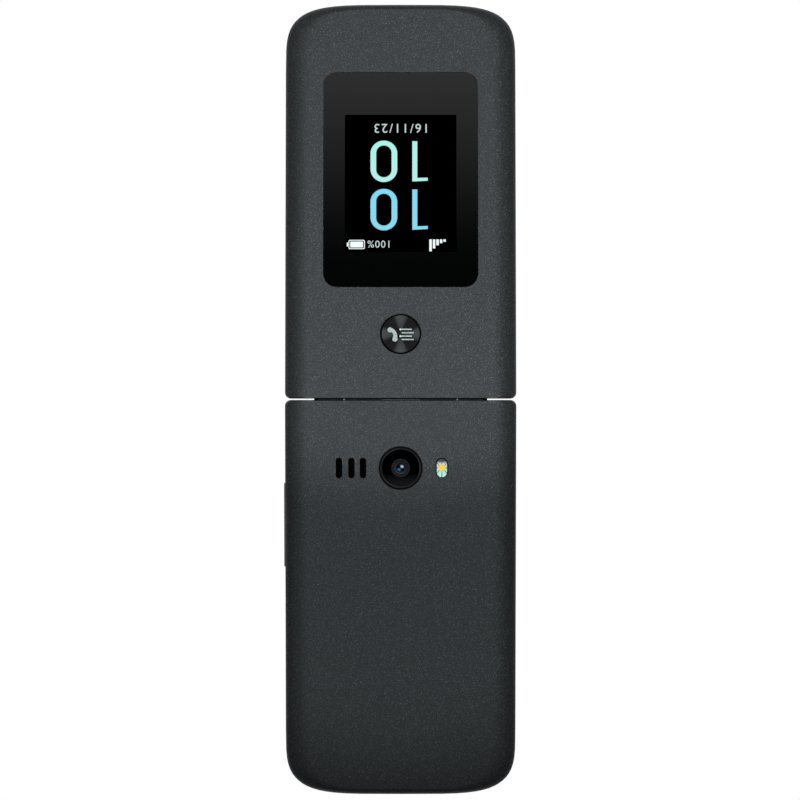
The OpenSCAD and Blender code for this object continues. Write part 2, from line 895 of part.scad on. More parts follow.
// Notch in the cover's rim at the free end, to lift it off with a nail
module nail_notch() {
    at = [-14, half_len + 0.3, base_split_z];
    translate(at) rotate([90, 0, 0]) cylinder(r = 0.7, h = 0.9);
    translate([at[0] - 6, half_len - 0.6, at[2] - 0.7]) cube([6, 1.2, 1]);
}

// Tongues inside the cover's long walls, which find their place inside the housing's walls
module cover_tongues() {
    outer = half_w - housing_wall - 0.2;
    for (y = tongue_y) {
        translate([outer - 0.8, y - 3, -7]) cube([0.8, 6, 2.2]);
        translate([outer - 0.4, y - 3, -7]) cube([0.9, 6, 1]);
    }
}

// Room for those tongues, cut from the chassis
module tongue_room() {
    for (y = tongue_y)
        translate([half_w - housing_wall - 1.3, y - 3.3, -far / 2]) cube([3, 6.6, far / 2 - 4.5]);
}

// ---- Keys ----

// A cap with a crowned top, its flange under the deck and a plunger above its dome
module key(size, at) {
    intersection() {
        pad_solid([deck_under_z - flange_t, key_top_z + 1], size, 2, at);
        translate([0, at[1], key_top_z - key_crown_r])
            rotate([0, 90, 0])
                cylinder(r = key_crown_r, h = far, center = true, $fn = 720);
    }
    pad_solid([deck_under_z - flange_t, deck_under_z], [size[0] + 1, size[1] + 1], 2.4, at);
    disc(1.2, at, [plunger_z, deck_under_z]);
}

module number_key(k) {
    color([0.13, 0.13, 0.14])
    key(key_size, number_key_at(k));
}

module row_key(column, tint) {
    at = [column * key_pitch_x, call_row_y];
    color(tint)
    key([key_size[0], 8.4], at);
}

// Soft key beside the navigation ring, hollowed to follow it; gap widens the outline
module soft_key_outline(side, gap) {
    difference() {
        translate([side * 19, nav_y - 1.5])
            pad([13.6 + 2 * gap, 13.6 + 2 * gap], 2.2);
        translate([0, nav_y]) circle(nav_r + 1.9 - gap);
    }
}

module soft_key(side) {
    flange = [deck_under_z - flange_t, deck_under_z];
    at = [side * 19, nav_y - 1.5];
    color([0.13, 0.13, 0.14]) {
        translate([0, 0, flange[0]])
            linear_extrude(key_top_z - flange[0])
                soft_key_outline(side, 0);
        translate([0, 0, flange[0]])
            linear_extrude(flange_t)
                soft_key_outline(side, 0.4);
        disc(1.2, at, [plunger_z, deck_under_z]);
    }
}

module ok_key() {
    at = [0, nav_y];
    color([0.13, 0.13, 0.14]) {
        disc(ok_r, at, [-0.9, key_top_z - 0.1]);
        disc(ok_r + 0.45, at, [-0.9, -0.7]);
        disc(1.2, at, [plunger_z - 0.1, -0.8]);
    }
}

// Silicone carrier of the ring: two ridges below to rock on the mat, two above for the ring
module nav_pad() {
    color([0.85, 0.87, 0.86])
    translate([0, nav_y, 0]) {
        ring(5.3, 7.2, [0, 0], [-1.15, -0.9]);
        for (s = [-1, 1]) {
            translate([s * 6.3 - 0.7, 0, -1.15]) rotate([0, 90, 0]) cylinder(r = 0.15, h = 1.4);
            translate([0, s * 6.3 - 0.7, -0.9]) rotate([-90, 0, 0]) cylinder(r = 0.2, h = 1.4);
        }
    }
}

module nav_ring() {
    at = [0, nav_y];
    color([0.2, 0.2, 0.21]) {
        ring(ok_r + 0.25, nav_r, at, [-0.7, deck_z + 0.2]);
        ring(8, nav_r + 0.6, at, [-1, -0.7]);
    }
}

// ---- Assembly ----

in_lid() lid_outer_cover();
in_lid() outer_display_lens();
in_lid() outer_display_panel();
in_lid() contacts_key();
in_lid() lid_key_switch();
in_lid() lid_inner_frame();
in_lid() main_display_lens();
in_lid() main_display_panel();
in_lid() earpiece_mesh();
in_lid() earpiece_speaker();
in_lid() lid_board();
in_lid() lid_bumpers();
in_lid() vibration_motor();
in_lid() lid_magnet();
in_base() keypad_housing();
in_base() chassis();
in_base() main_board();
in_base() dome_sheet();
in_base() keypad_mat();
in_base() battery();
in_base() battery_contacts();
in_base() camera_module();
in_base() camera_ring();
in_base() camera_window();
in_base() flash_led();
in_base() flash_lens();
in_base() loudspeaker();
in_base() speaker_mesh();
in_base() usb_port();
in_base() headset_jack();
in_base() card_sockets();
in_base() microphone();
in_base() volume_switches();
in_base() volume_rocker();
in_base() chassis_screws();
in_base() hinge_module();
in_base() hinge_pin();
in_base() back_cover();
in_base() soft_key(1);  // soft_key_left
in_base() soft_key(-1);  // soft_key_right
in_base() row_key(1, [0.2, 0.55, 0.25]);  // call_key
in_base() row_key(0, [0.13, 0.13, 0.14]);  // clear_key
in_base() row_key(-1, [0.65, 0.15, 0.13]);  // end_key
in_base() ok_key();
in_base() nav_pad();
in_base() nav_ring();
for (k = [0:11])
    in_base() number_key(k);
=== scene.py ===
"""Looks of an open flip phone that lies on its back cover and is seen from beneath.

Each half has its own frame in millimetres: x across, y from the hinge axis to the free end
and z towards the face that shuts. side() places flat work on a half, as right, up and out.
"""

import json
import math

import bmesh
import bpy
import numpy as np
from mathutils import Matrix, Vector

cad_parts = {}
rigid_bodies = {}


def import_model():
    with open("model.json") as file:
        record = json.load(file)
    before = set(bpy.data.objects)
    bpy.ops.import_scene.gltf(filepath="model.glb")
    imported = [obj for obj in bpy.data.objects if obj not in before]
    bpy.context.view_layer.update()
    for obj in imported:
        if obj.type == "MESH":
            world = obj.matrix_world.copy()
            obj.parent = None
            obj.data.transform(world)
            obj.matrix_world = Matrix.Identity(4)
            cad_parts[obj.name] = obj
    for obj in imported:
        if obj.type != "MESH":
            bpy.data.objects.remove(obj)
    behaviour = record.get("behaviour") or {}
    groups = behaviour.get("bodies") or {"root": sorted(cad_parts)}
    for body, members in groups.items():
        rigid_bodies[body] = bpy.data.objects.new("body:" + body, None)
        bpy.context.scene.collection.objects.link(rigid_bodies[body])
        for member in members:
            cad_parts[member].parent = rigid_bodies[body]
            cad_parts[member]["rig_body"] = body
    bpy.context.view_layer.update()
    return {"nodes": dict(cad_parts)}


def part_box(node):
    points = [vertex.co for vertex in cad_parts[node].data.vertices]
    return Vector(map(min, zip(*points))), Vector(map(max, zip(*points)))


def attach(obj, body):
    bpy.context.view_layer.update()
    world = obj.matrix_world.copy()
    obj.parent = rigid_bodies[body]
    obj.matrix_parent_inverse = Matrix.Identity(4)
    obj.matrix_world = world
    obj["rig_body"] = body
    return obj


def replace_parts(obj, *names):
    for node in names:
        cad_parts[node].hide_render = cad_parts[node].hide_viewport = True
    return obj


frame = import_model()

# ---- Frames of the two halves ----

MM = 0.001
LID_TILT = math.radians(20)
pin_low, pin_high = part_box("hinge_pin")
HINGE = Vector((0, (pin_low.y + pin_high.y) / 2, (pin_low.z + pin_high.z) / 2))


def half_frame(spin, tilt):
    """A half's placement, spun about z and tilted: millimetres from the hinge axis to metres of
    the shared frame."""
    turn = Matrix.Rotation(spin, 4, "Z") @ Matrix.Rotation(tilt, 4, "X")
    return Matrix.Translation(HINGE) @ turn @ Matrix.Scale(MM, 4)


LID = half_frame(0, LID_TILT)
BASE = half_frame(math.pi, 0)
# Halfway between the halves, where the slit of the hinge opens
SEAM = half_frame(0, LID_TILT / 2)


def side(half, at, right, up):
    """Placement of flat work: right and up are directions in the half, and out is their cross."""
    right, up = Vector(right), Vector(up)
    axes = Matrix((right, up, right.cross(up))).transposed().to_4x4()
    return half @ Matrix.Translation(at) @ axes


def span(half, node):
    """Lowest and highest corner of a CAD node in a half's own millimetres."""
    co = np.array([v.co for v in frame["nodes"][node].data.vertices])
    local = placed(co, half.inverted())
    return local.min(0), local.max(0)


def placed(points, matrix):
    """Points taken through a 4x4 placement."""
    m = np.array(matrix)
    return np.asarray(points, float) @ m[:3, :3].T + m[:3, 3]


# Sides seen in the photograph: right and up as the camera sees them
def lid_back(x, y, z):
    return side(LID, (x, y, z), (-1, 0, 0), (0, 1, 0))


def base_back(x, y, z):
    return side(BASE, (x, y, z), (1, 0, 0), (0, -1, 0))


# Sides as their user reads them
def outer_display(x, y, z):
    return side(LID, (x, y, z), (1, 0, 0), (0, -1, 0))


def inner_display(x, y, z):
    return side(LID, (x, y, z), (1, 0, 0), (0, 1, 0))


def deck(x, y, z):
    return side(BASE, (x, y, z), (-1, 0, 0), (0, -1, 0))


# ---- Outlines and surfaces ----

def grid_faces(rows, cols, wrap_cols=True, wrap_rows=False):
    """Quads between neighbouring rows of a grid of points, rows by cols."""
    r = np.arange(rows if wrap_rows else rows - 1)[:, None]
    c = np.arange(cols if wrap_cols else cols - 1)[None, :]
    r1, c1 = (r + 1) % rows, (c + 1) % cols
    quads = np.stack([r * cols + c, r * cols + c1, r1 * cols + c1, r1 * cols + c], -1)
    return quads.reshape(-1, 4).tolist()


def at_height(outline, z):
    """A flat outline with its third coordinate."""
    return np.column_stack([outline, np.broadcast_to(z, len(outline))])


def slab(outline, low, high):
    """Prism over an outline that runs anticlockwise."""
    n = len(outline)
    points = np.vstack([at_height(outline, low), at_height(outline, high)])
    caps = [list(range(n))[::-1], list(range(n, 2 * n))]
    return points, caps + grid_faces(2, n)


def band(outer, inner, low, high):
    """Flat ring between two outlines of equal count: four loops joined all round."""
    loops = [at_height(inner, low), at_height(outer, low),
             at_height(outer, high), at_height(inner, high)]
    return np.vstack(loops), grid_faces(4, len(outer), wrap_rows=True)


def turned(profile, steps=96):
    """Profile (radius, height) carried round the axis; radius 0 at both ends closes in poles."""
    profile = np.array(profile, float)
    closed = profile[0, 0] > 0
    body = profile if closed else profile[1:-1]
    a = np.arange(steps) * 2 * np.pi / steps
    points = np.stack([body[:, None, 0] * np.cos(a), body[:, None, 0] * np.sin(a),
                       np.broadcast_to(body[:, None, 1], (len(body), steps))], -1).reshape(-1, 3)
    faces = grid_faces(len(body), steps, wrap_rows=closed)
    if not closed:
        n = len(points)
        points = np.vstack([points, [0, 0, profile[0, 1]], [0, 0, profile[-1, 1]]])
        last = (len(body) - 1) * steps
        faces += [[n, (i + 1) % steps, i] for i in range(steps)]
        faces += [[n + 1, last + i, last + (i + 1) % steps] for i in range(steps)]
    return points, faces


def moved(shape, x=0, y=0, turn=0):
    """A shape turned about its out axis, then moved across its side."""
    points, faces = shape
    return placed(points, Matrix.Translation((x, y, 0)) @ Matrix.Rotation(turn, 4, "Z")), faces


def joined(*shapes):
    """Several shapes as one."""
    points, faces, start = [], [], 0
    for p, f in shapes:
        points.append(p)
        faces += [[i + start for i in face] for face in f]
        start += len(p)
    return np.vstack(points), faces


def circle(r, steps=64):
    """Circle of radius r, anticlockwise."""
    a = np.arange(steps) * 2 * np.pi / steps
    return np.column_stack([r * np.cos(a), r * np.sin(a)])


def rounded(w, h, r, steps=10):
    """Rectangle with corner arcs of radius r, anticlockwise."""
    a = np.linspace(0, np.pi / 2, steps)
    corners = []
    for k, (sx, sy) in enumerate([(1, 1), (-1, 1), (-1, -1), (1, -1)]):
        t = a + k * np.pi / 2
        centre = np.array([sx * (w / 2 - r), sy * (h / 2 - r)])
        corners.append(centre + r * np.column_stack([np.cos(t), np.sin(t)]))
    return np.vstack(corners)


def ribbon(path, half_width, steps=28, ends=21):
    """Outline at a changing half width either side of a path, with a round cap at each end.
    path(t) and half_width(t) are functions of t from 0 to 1."""
    t = np.linspace(0, 1, steps)
    centre = path(t)
    along = np.gradient(centre, axis=0)
    along /= np.linalg.norm(along, axis=1)[:, None]
    left = np.column_stack([-along[:, 1], along[:, 0]])
    w = half_width(t)[:, None]
    sweep = np.linspace(np.pi / 2, -np.pi / 2, ends)[1:-1, None]
    tip = centre[-1] + w[-1] * (np.cos(sweep) * along[-1] + np.sin(sweep) * left[-1])
    tail = centre[0] + w[0] * (-np.cos(sweep) * along[0] - np.sin(sweep) * left[0])
    loop = np.vstack([centre + w * left, tip, (centre - w * left)[::-1], tail])
    return loop[::-1]


def bar(x0, x1, y, thick):
    """Short line with round ends."""
    return rounded(x1 - x0, thick, thick * 0.49) + [(x0 + x1) / 2, y]


def numerals(text, height, low, high, spread=1.0):
    """Plain figures of a given height, centred, as a closed slab from low to high."""
    curve = bpy.data.curves.new("figures", "FONT")
    curve.body = text
    curve.space_character = spread
    curve.resolution_u = 6
    curve.extrude = 0.5
    obj = bpy.data.objects.new("figures", curve)
    bpy.context.scene.collection.objects.link(obj)
    mesh = bpy.data.meshes.new_from_object(obj.evaluated_get(bpy.context.evaluated_depsgraph_get()))
    bm = bmesh.new()
    bm.from_mesh(mesh)
    bmesh.ops.remove_doubles(bm, verts=bm.verts, dist=1e-4)
    bmesh.ops.recalc_face_normals(bm, faces=bm.faces)
    points = np.array([v.co for v in bm.verts])
    faces = [[v.index for v in f.verts] for f in bm.faces]
    bm.free()
    bpy.data.objects.remove(obj)
    bpy.data.curves.remove(curve)
    bpy.data.meshes.remove(mesh)
    size = np.ptp(points[:, 1])
    points[:, :2] -= (points[:, :2].min(0) + points[:, :2].max(0)) / 2
    points[:, :2] *= height / size
    points[:, 2] = np.where(points[:, 2] > 0, high, low)
    return points, faces


def dressed(mesh, look, body, crease):
    """A mesh shaded up to its creases, with its finish, as an object that rides on its body."""
    mesh.shade_smooth()
    mesh.set_sharp_from_angle(angle=math.radians(crease))
    mesh.materials.clear()
    mesh.materials.append(look)
    obj = bpy.data.objects.new(mesh.name, mesh)
    bpy.context.scene.collection.objects.link(obj)
    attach(obj, body)
    return obj


def piece(name, shape, where, look, body, slot, crease=30):
    """A shape in millimetres, placed and dressed."""
    points, faces = shape
    mesh = bpy.data.meshes.new(name)
    mesh.from_pydata(placed(points, where).tolist(), [], faces)
    return dressed(mesh, look, body, crease)


# ---- Node trees ----

class Tree:
    """A node tree written as calls; a value is a number, a colour or another node's socket."""

    def __init__(self, tree):
        self.tree = tree

    def feed(self, socket, value):
        if isinstance(value, bpy.types.NodeSocket):
            self.tree.links.new(value, socket)
        elif value is not None:
            socket.default_value = value

    def node(self, kind, *values, out=0, **settings):
        """Adds a node, feeds its inputs in order and gives one of its outputs."""
        n = self.tree.nodes.new("ShaderNode" + kind)
        for key, value in settings.items():
            setattr(n, key, value)
        for socket, value in zip(n.inputs, values):
            self.feed(socket, value)
        return n.outputs[out]

    def math(self, operation, a, b=None, c=None, clamp=False):
        return self.node("Math", a, b, c, operation=operation, use_clamp=clamp)

    def vector(self, operation, a, b=None, scale=None, out=0):
        return self.node("VectorMath", a, b, None, scale, operation=operation, out=out)

    def blend(self, factor, a, b):
        n = self.tree.nodes.new("ShaderNodeMix")
        n.data_type = "RGBA"
        for index, value in ((0, factor), (6, a), (7, b)):
            self.feed(n.inputs[index], value)
        return n.outputs[2]

    def ramp(self, value, low, high, to_low=0.0, to_high=1.0):
        """Smooth step from one value to another between low and high."""
        return self.node("MapRange", value, low, high, to_low, to_high,
                         interpolation_type="SMOOTHSTEP")

    def place(self, tree, **values):
        """Places a group and gives its outputs by name."""
        n = self.tree.nodes.new("ShaderNodeGroup")
        n.node_tree = tree
        for key, value in values.items():
            self.feed(n.inputs[key], value)
        return n.outputs

    def here(self):
        return self.node("TexCoord", out=3)

    def local(self, where):
        """Object coordinates as millimetres on a side: right, up and out."""
        at, turn, _ = where.decompose()
        return self.node("Mapping", self.here(), tuple(at), tuple(turn.to_euler()), (MM,) * 3,
                         vector_type="TEXTURE")


KINDS = {float: "NodeSocketFloat", tuple: "NodeSocketColor", list: "NodeSocketVector"}


def effect(name, inputs, outputs, build):
    """A node group: inputs by name and default, outputs by name and kind, from build(tree, in)."""
    tree = bpy.data.node_groups.new(name, "ShaderNodeTree")
    for key, value in inputs.items():
        socket = tree.interface.new_socket(key, in_out="INPUT", socket_type=KINDS[type(value)])
        socket.default_value = value
    for key, kind in outputs.items():
        tree.interface.new_socket(key, in_out="OUTPUT", socket_type=kind)
    t = Tree(tree)
    source = tree.nodes.new("NodeGroupInput")
    sink = tree.nodes.new("NodeGroupOutput")
    made = build(t, source.outputs)
    for key in outputs:
        t.feed(sink.inputs[key], made[key])
    return tree


# Power that leaves few bright flakes, whose brightness is a painted glint, and the noise scale of
# the haze among them
FLAKE_POWER = 14.0
HAZE_SCALE = 5200.0


def build_flakes(t, given):
    """Metal flakes in paint: each cell has its own small tilt, and its own brightness, which is a
    painted glint in the colour. Size is in millimetres."""
    cells = t.math("DIVIDE", 1 / MM, given["Size"])
    flake = t.node("TexVoronoi", t.here(), None, cells, out=1)
    random = t.node("SeparateColor", flake)
    # Painted glint: a few flakes get a far brighter colour in place of their sparkle
    painted_glint = t.math("POWER", random, FLAKE_POWER)
    shade = t.math("MULTIPLY_ADD", painted_glint, given["Sparkle"], 1.0)
    haze = t.node("TexNoise", t.here(), None, HAZE_SCALE, 2.0)
    middle = t.math("MULTIPLY_ADD", given["Mottle"], -0.5, 1.0)
    shade = t.math("MULTIPLY", shade, t.math("MULTIPLY_ADD", haze, given["Mottle"], middle))
    lean = t.vector("SUBTRACT", flake, (0.5, 0.5, 0.5))
    lean = t.vector("SCALE", lean, scale=given["Tilt"])
    normal = t.vector("NORMALIZE", t.vector("ADD", t.node("NewGeometry", out=1), lean))
    return {"Colour": t.vector("SCALE", given["Colour"], scale=shade), "Normal": normal}


def build_grain(t, given):
    """Fine spark-eroded grain of a mould: height from noise, and a faint change of shade."""
    fine = t.node("TexNoise", t.here(), None, t.math("DIVIDE", 1 / MM, given["Size"]), 3.0)
    coarse = t.node("TexNoise", t.here(), None, t.math("DIVIDE", 120.0, given["Size"]), 2.0)
    shade = t.math("MULTIPLY_ADD", t.math("SUBTRACT", coarse, 0.5), given["Shade"], 1.0)
    return {"Height": fine, "Colour": t.vector("SCALE", given["Colour"], scale=shade)}


def build_smears(t, given):
    """Faint handling marks on gloss: patches that are a little rougher than the rest."""
    patch = t.node("TexNoise", t.here(), None, 90.0, 4.0, 0.6)
    mask = t.ramp(patch, 0.45, 0.7)
    extra = t.math("SUBTRACT", given["Rough"], given["Clean"])
    return {"Roughness": t.math("MULTIPLY_ADD", mask, extra, given["Clean"])}


def build_spun(t, given):
    """Turned metal: grooves by radius, and a mask of fans that spread from the centre, for painted
    highlights.
    """
    x = t.node("SeparateXYZ", given["Place"], out=0)
    y = t.node("SeparateXYZ", given["Place"], out=1)
    radius = t.math("SQRT", t.math("ADD", t.math("MULTIPLY", x, x), t.math("MULTIPLY", y, y)))
    angle = t.math("ARCTAN2", y, x)
    # Mask of the painted highlight fans, by angle round the centre
    fans = t.math("COSINE", t.math("MULTIPLY", angle, given["Fans"]))
    streaks = t.node("TexNoise", t.node("CombineXYZ", t.math("MULTIPLY", angle, 4.0), 0.0,
                                        t.math("MULTIPLY", radius, 0.3)), None, 2.0, 2.0)
    fans = t.math("ADD", fans, t.math("MULTIPLY_ADD", streaks, 0.5, -0.25))
    fans = t.math("MULTIPLY", t.ramp(fans, -0.4, 1.1), t.ramp(radius, 0.0, 4.5, 0.35, 1.0))
    grooves = t.math("SINE", t.math("MULTIPLY", radius, given["Grooves"]))
    return {"Fans": fans, "Height": grooves, "Radius": radius}


def build_brushed(t, given):
    """Brush lines drawn out along x: long thin noise for height and roughness."""
    long = t.node("Mapping", t.here(), None, None, (60.0, 2500.0, 2500.0))
    lines = t.node("TexNoise", long, None, 1.0, 2.0)
    return {"Height": lines, "Roughness": t.math("MULTIPLY_ADD", lines, 0.25, given["Roughness"])}


FLAKES = effect("metal_flakes", {"Colour": (0.06, 0.06, 0.06, 1), "Size": 0.2, "Sparkle": 1.0,
                                 "Mottle": 0.1, "Tilt": 0.1},
                {"Colour": "NodeSocketColor", "Normal": "NodeSocketVector"}, build_flakes)
GRAIN = effect("mould_grain", {"Colour": (0.5, 0.5, 0.5, 1), "Size": 0.15, "Shade": 0.2},
               {"Colour": "NodeSocketColor", "Height": "NodeSocketFloat"}, build_grain)
SMEARS = effect("handling_smears", {"Clean": 0.05, "Rough": 0.2},
                {"Roughness": "NodeSocketFloat"}, build_smears)
SPUN = effect("spun_metal_painted_fans", {"Place": [0.0, 0.0, 0.0], "Fans": 4.0, "Grooves": 40.0},
              {"Fans": "NodeSocketFloat", "Height": "NodeSocketFloat",
               "Radius": "NodeSocketFloat"}, build_spun)
BRUSHED = effect("brush_lines", {"Roughness": 0.3},
                 {"Height": "NodeSocketFloat", "Roughness": "NodeSocketFloat"}, build_brushed)


# ---- Finishes ----

def srgb(r, g, b):
    """Colour given as 0-255 screen values, in linear light."""
    c = np.array([r, g, b]) / 255
    return (*np.where(c <= 0.04045, c / 12.92, ((c + 0.055) / 1.055) ** 2.4).tolist(), 1.0)


def finish(name, colour=(0, 0, 0, 1), **plain):
    """A material with its shader; plain holds values set on the shader's own sockets."""
    material = bpy.data.materials.new(name)
    material.use_nodes = True
    shader = material.node_tree.nodes["Principled BSDF"]
    shader.inputs["Base Color"].default_value = colour
    material.diffuse_color = colour
    for key, value in plain.items():
        shader.inputs[key.replace("_", " ")].default_value = value
    t = Tree(material.node_tree)
    return material, t, shader.inputs


def relief(t, height, strength, distance):
    """A height as a surface normal; distance is the relief in metres."""
    n = t.tree.nodes.new("ShaderNodeBump")
    for key, value in (("Strength", strength), ("Distance", distance), ("Height", height)):
        t.feed(n.inputs[key], value)
    return n.outputs[0]


PAINT_GREY = srgb(65.8, 68.7, 70.7)
PAINT_METAL = 0.5
DECK_BLACK = srgb(24, 25, 27)
# Room that holds the hinge barrel: from its axis outwards, and from its middle to either end
BARREL_REACH = 8.35
BARREL_HALF = 21.75
MINT = srgb(173, 243, 232)
SKY = srgb(132, 218, 244)
# Threads of the dust meshes, in radians a metre
THREADS = 16000.0


def flake_paint(name, face=None, level=0.0):
    """Satin metallic grey paint. With a face, all above level on that side and the whole hinge
    barrel are satin black plastic instead."""
    material, t, to = finish(name, PAINT_GREY, Metallic=PAINT_METAL, Roughness=0.56,
                             Specular_IOR_Level=0.3)
    flakes = t.place(FLAKES, Colour=PAINT_GREY, Size=0.12, Sparkle=2.9, Mottle=0.6, Tilt=0.18)
    colour = flakes["Colour"]
    if face:
        place = t.local(face)
        across = t.math("ABSOLUTE", t.node("SeparateXYZ", place, out=0))
        from_axis = t.vector("LENGTH", t.vector("MULTIPLY", place, (0, 1, 1)), out=1)
        barrel = t.math("MULTIPLY", t.math("LESS_THAN", from_axis, BARREL_REACH),
                        t.math("LESS_THAN", across, BARREL_HALF))
        mask = t.ramp(t.node("SeparateXYZ", place, out=2), level - 0.03, level)
        mask = t.math("MAXIMUM", mask, barrel)
        grain = t.place(GRAIN, Colour=DECK_BLACK, Size=0.2, Shade=0.3)
        colour = t.blend(mask, colour, grain["Colour"])
        t.feed(to["Metallic"], t.math("MULTIPLY_ADD", mask, -PAINT_METAL, PAINT_METAL))
    t.feed(to["Base Color"], colour)
    t.feed(to["Normal"], flakes["Normal"])
    return material


def moulded(name, colour, rough, size=0.15, strength=0.25, **plain):
    """Moulded plastic or rubber with the fine grain of its tool."""
    material, t, to = finish(name, colour, Roughness=rough, **plain)
    grain = t.place(GRAIN, Colour=colour, Size=size, Shade=0.35)
    t.feed(to["Base Color"], grain["Colour"])
    t.feed(to["Normal"], relief(t, grain["Height"], strength, 0.00003))
    return material


def black_glass(name, colour, clean, smeared, **plain):
    """Gloss glass, black from behind, with faint handling marks."""
    material, t, to = finish(name, colour, **plain)
    t.feed(to["Roughness"], t.place(SMEARS, Clean=clean, Rough=smeared)["Roughness"])
    return material


def spun(name, dark, light, where, fans, rough, **plain):
    """Turned metal with grooves, and painted highlights: the light colour in fans from the centre.
    """
    material, t, to = finish(name, dark, Roughness=rough, **plain)
    disc = t.place(SPUN, Place=t.local(where), Fans=float(fans), Grooves=55.0)
    # Painted highlight: the light colour where the fans are
    t.feed(to["Base Color"], t.blend(disc["Fans"], dark, light))
    t.feed(to["Normal"], relief(t, disc["Height"], 0.12, 0.00002))
    return material


def ring_with_painted_lip(name):
    """Black anodised ring whose bevelled lip has a painted highlight, lighter where the fans are.
    """
    material, t, to = finish(name, Roughness=0.45, Specular_IOR_Level=0.05)
    disc = t.place(SPUN, Place=t.local(CAMERA_FACE), Fans=3.0, Grooves=40.0)
    # Painted highlight on the bevelled lip
    lip = t.blend(disc["Fans"], srgb(44, 45, 47), srgb(60, 61, 64))
    edge = t.ramp(disc["Radius"], WINDOW_R + 0.38, WINDOW_R + 0.3)
    t.feed(to["Base Color"], t.blend(edge, (0.0012, 0.0012, 0.0013, 1), lip))
    return material


def brushed(name, colour, rough):
    """Drawn or stamped metal with brush lines."""
    material, t, to = finish(name, colour, Metallic=1.0)
    lines = t.place(BRUSHED, Roughness=rough)
    t.feed(to["Roughness"], lines["Roughness"])
    t.feed(to["Normal"], relief(t, lines["Height"], 0.15, 0.00002))
    return material


def lit(name, colour, end=None, where=None, reach=1.0):
    """Lit figures of a display, shading from colour to end over reach in the up direction."""
    material, t, to = finish(name, Emission_Strength=1.0, Specular_IOR_Level=0.0, Roughness=0.6)
    to["Emission Color"].default_value = colour
    if end:
        up = t.node("SeparateXYZ", t.local(where), out=1)
        t.feed(to["Emission Color"], t.blend(t.ramp(up, -reach, reach), colour, end))
    return material


def circuit_board(name):
    """Green solder mask over copper tracks: cells of a square voronoi pattern, and gold pads."""
    material, t, to = finish(name, srgb(18, 72, 46), Roughness=0.42, Coat_Weight=0.3)
    cells = t.node("TexVoronoi", t.here(), None, 900.0, distance="CHEBYCHEV",
                   feature="DISTANCE_TO_EDGE")
    tracks = t.ramp(cells, 0.05, 0.09)
    pads = t.node("TexVoronoi", t.here(), None, 420.0)
    gold = t.math("LESS_THAN", pads, 0.16)
    colour = t.blend(tracks, srgb(40, 112, 70), srgb(14, 62, 40))
    t.feed(to["Base Color"], t.blend(gold, colour, srgb(205, 170, 96)))
    t.feed(to["Metallic"], gold)
    t.feed(to["Normal"], relief(t, tracks, 0.3, 0.00003))
    return material


def woven_mesh(name, colour, **plain):
    """Fine dust mesh: two crossed sets of threads with holes between."""
    material, t, to = finish(name, colour, **plain)
    warp = t.math("SINE", t.math("MULTIPLY", t.node("SeparateXYZ", t.here(), out=0), THREADS))
    weft = t.math("SINE", t.math("MULTIPLY", t.node("SeparateXYZ", t.here(), out=1), THREADS))
    holes = t.ramp(t.math("MULTIPLY", warp, weft), 0.1, 0.5)
    t.feed(to["Base Color"], t.blend(holes, colour, (0.001, 0.001, 0.001, 1)))
    t.feed(to["Normal"], relief(t, holes, 0.5, 0.00005))
    return material


def foil(name, colour):
    """Wrapped cell: matt silver foil with soft creases."""
    material, t, to = finish(name, colour, Metallic=0.8, Roughness=0.38)
    creases = t.node("TexNoise", t.here(), None, 160.0, 3.0, 0.4)
    grain = t.place(GRAIN, Colour=colour, Size=0.3, Shade=0.15)
    t.feed(to["Base Color"], grain["Colour"])
    t.feed(to["Normal"], relief(t, creases, 0.25, 0.0002))
    return material


# ---- Places taken from the frame ----

key_low, key_high = span(LID, "contacts_key")
KEY_FACE = lid_back(0, (key_low[1] + key_high[1]) / 2, key_low[2])
window_low, window_high = span(BASE, "camera_window")
CAMERA_Y = (window_low[1] + window_high[1]) / 2
WINDOW_R = (window_high[0] - window_low[0]) / 2
CAMERA_FACE = base_back(0, CAMERA_Y, window_low[2])
ring_low, ring_high = span(BASE, "nav_ring")
NAV_Y = (ring_low[1] + ring_high[1]) / 2
RING_FACE = deck(0, NAV_Y, ring_high[2])
# Deck of the keypad and face of the lid's frame, from the hinge axis
DECK_Z = 0.9
LID_FACE_Z = -1.5

# ---- Finishes of the CAD nodes ----

casing = flake_paint("casing_paint")
STEEL = brushed("drawn_steel", srgb(168, 170, 172), 0.28)
GLASS = black_glass("display_glass", (0.0008, 0.0009, 0.001, 1), 0.02, 0.04)
PANEL = black_glass("display_panel_glass", srgb(20, 21, 24), 0.12, 0.2)
KEY_BLACK = moulded("key_black", srgb(27, 28, 30), 0.3, 0.12, 0.12, Coat_Weight=0.3,
                    Coat_Roughness=0.12)
SILICONE = moulded("silicone", srgb(205, 208, 206), 0.5, 0.2, 0.2, Subsurface_Weight=0.3,
                   Subsurface_Scale=0.001)
CHASSIS = moulded("chassis_plastic", srgb(40, 41, 43), 0.55)
BURNISHED = brushed("burnished_steel", srgb(52, 53, 55), 0.5)
RUBBER = moulded("bumper_rubber", srgb(22, 22, 23), 0.75)
BOARD = circuit_board("solder_mask")
GOLD = brushed("gold_plate", srgb(212, 172, 88), 0.22)

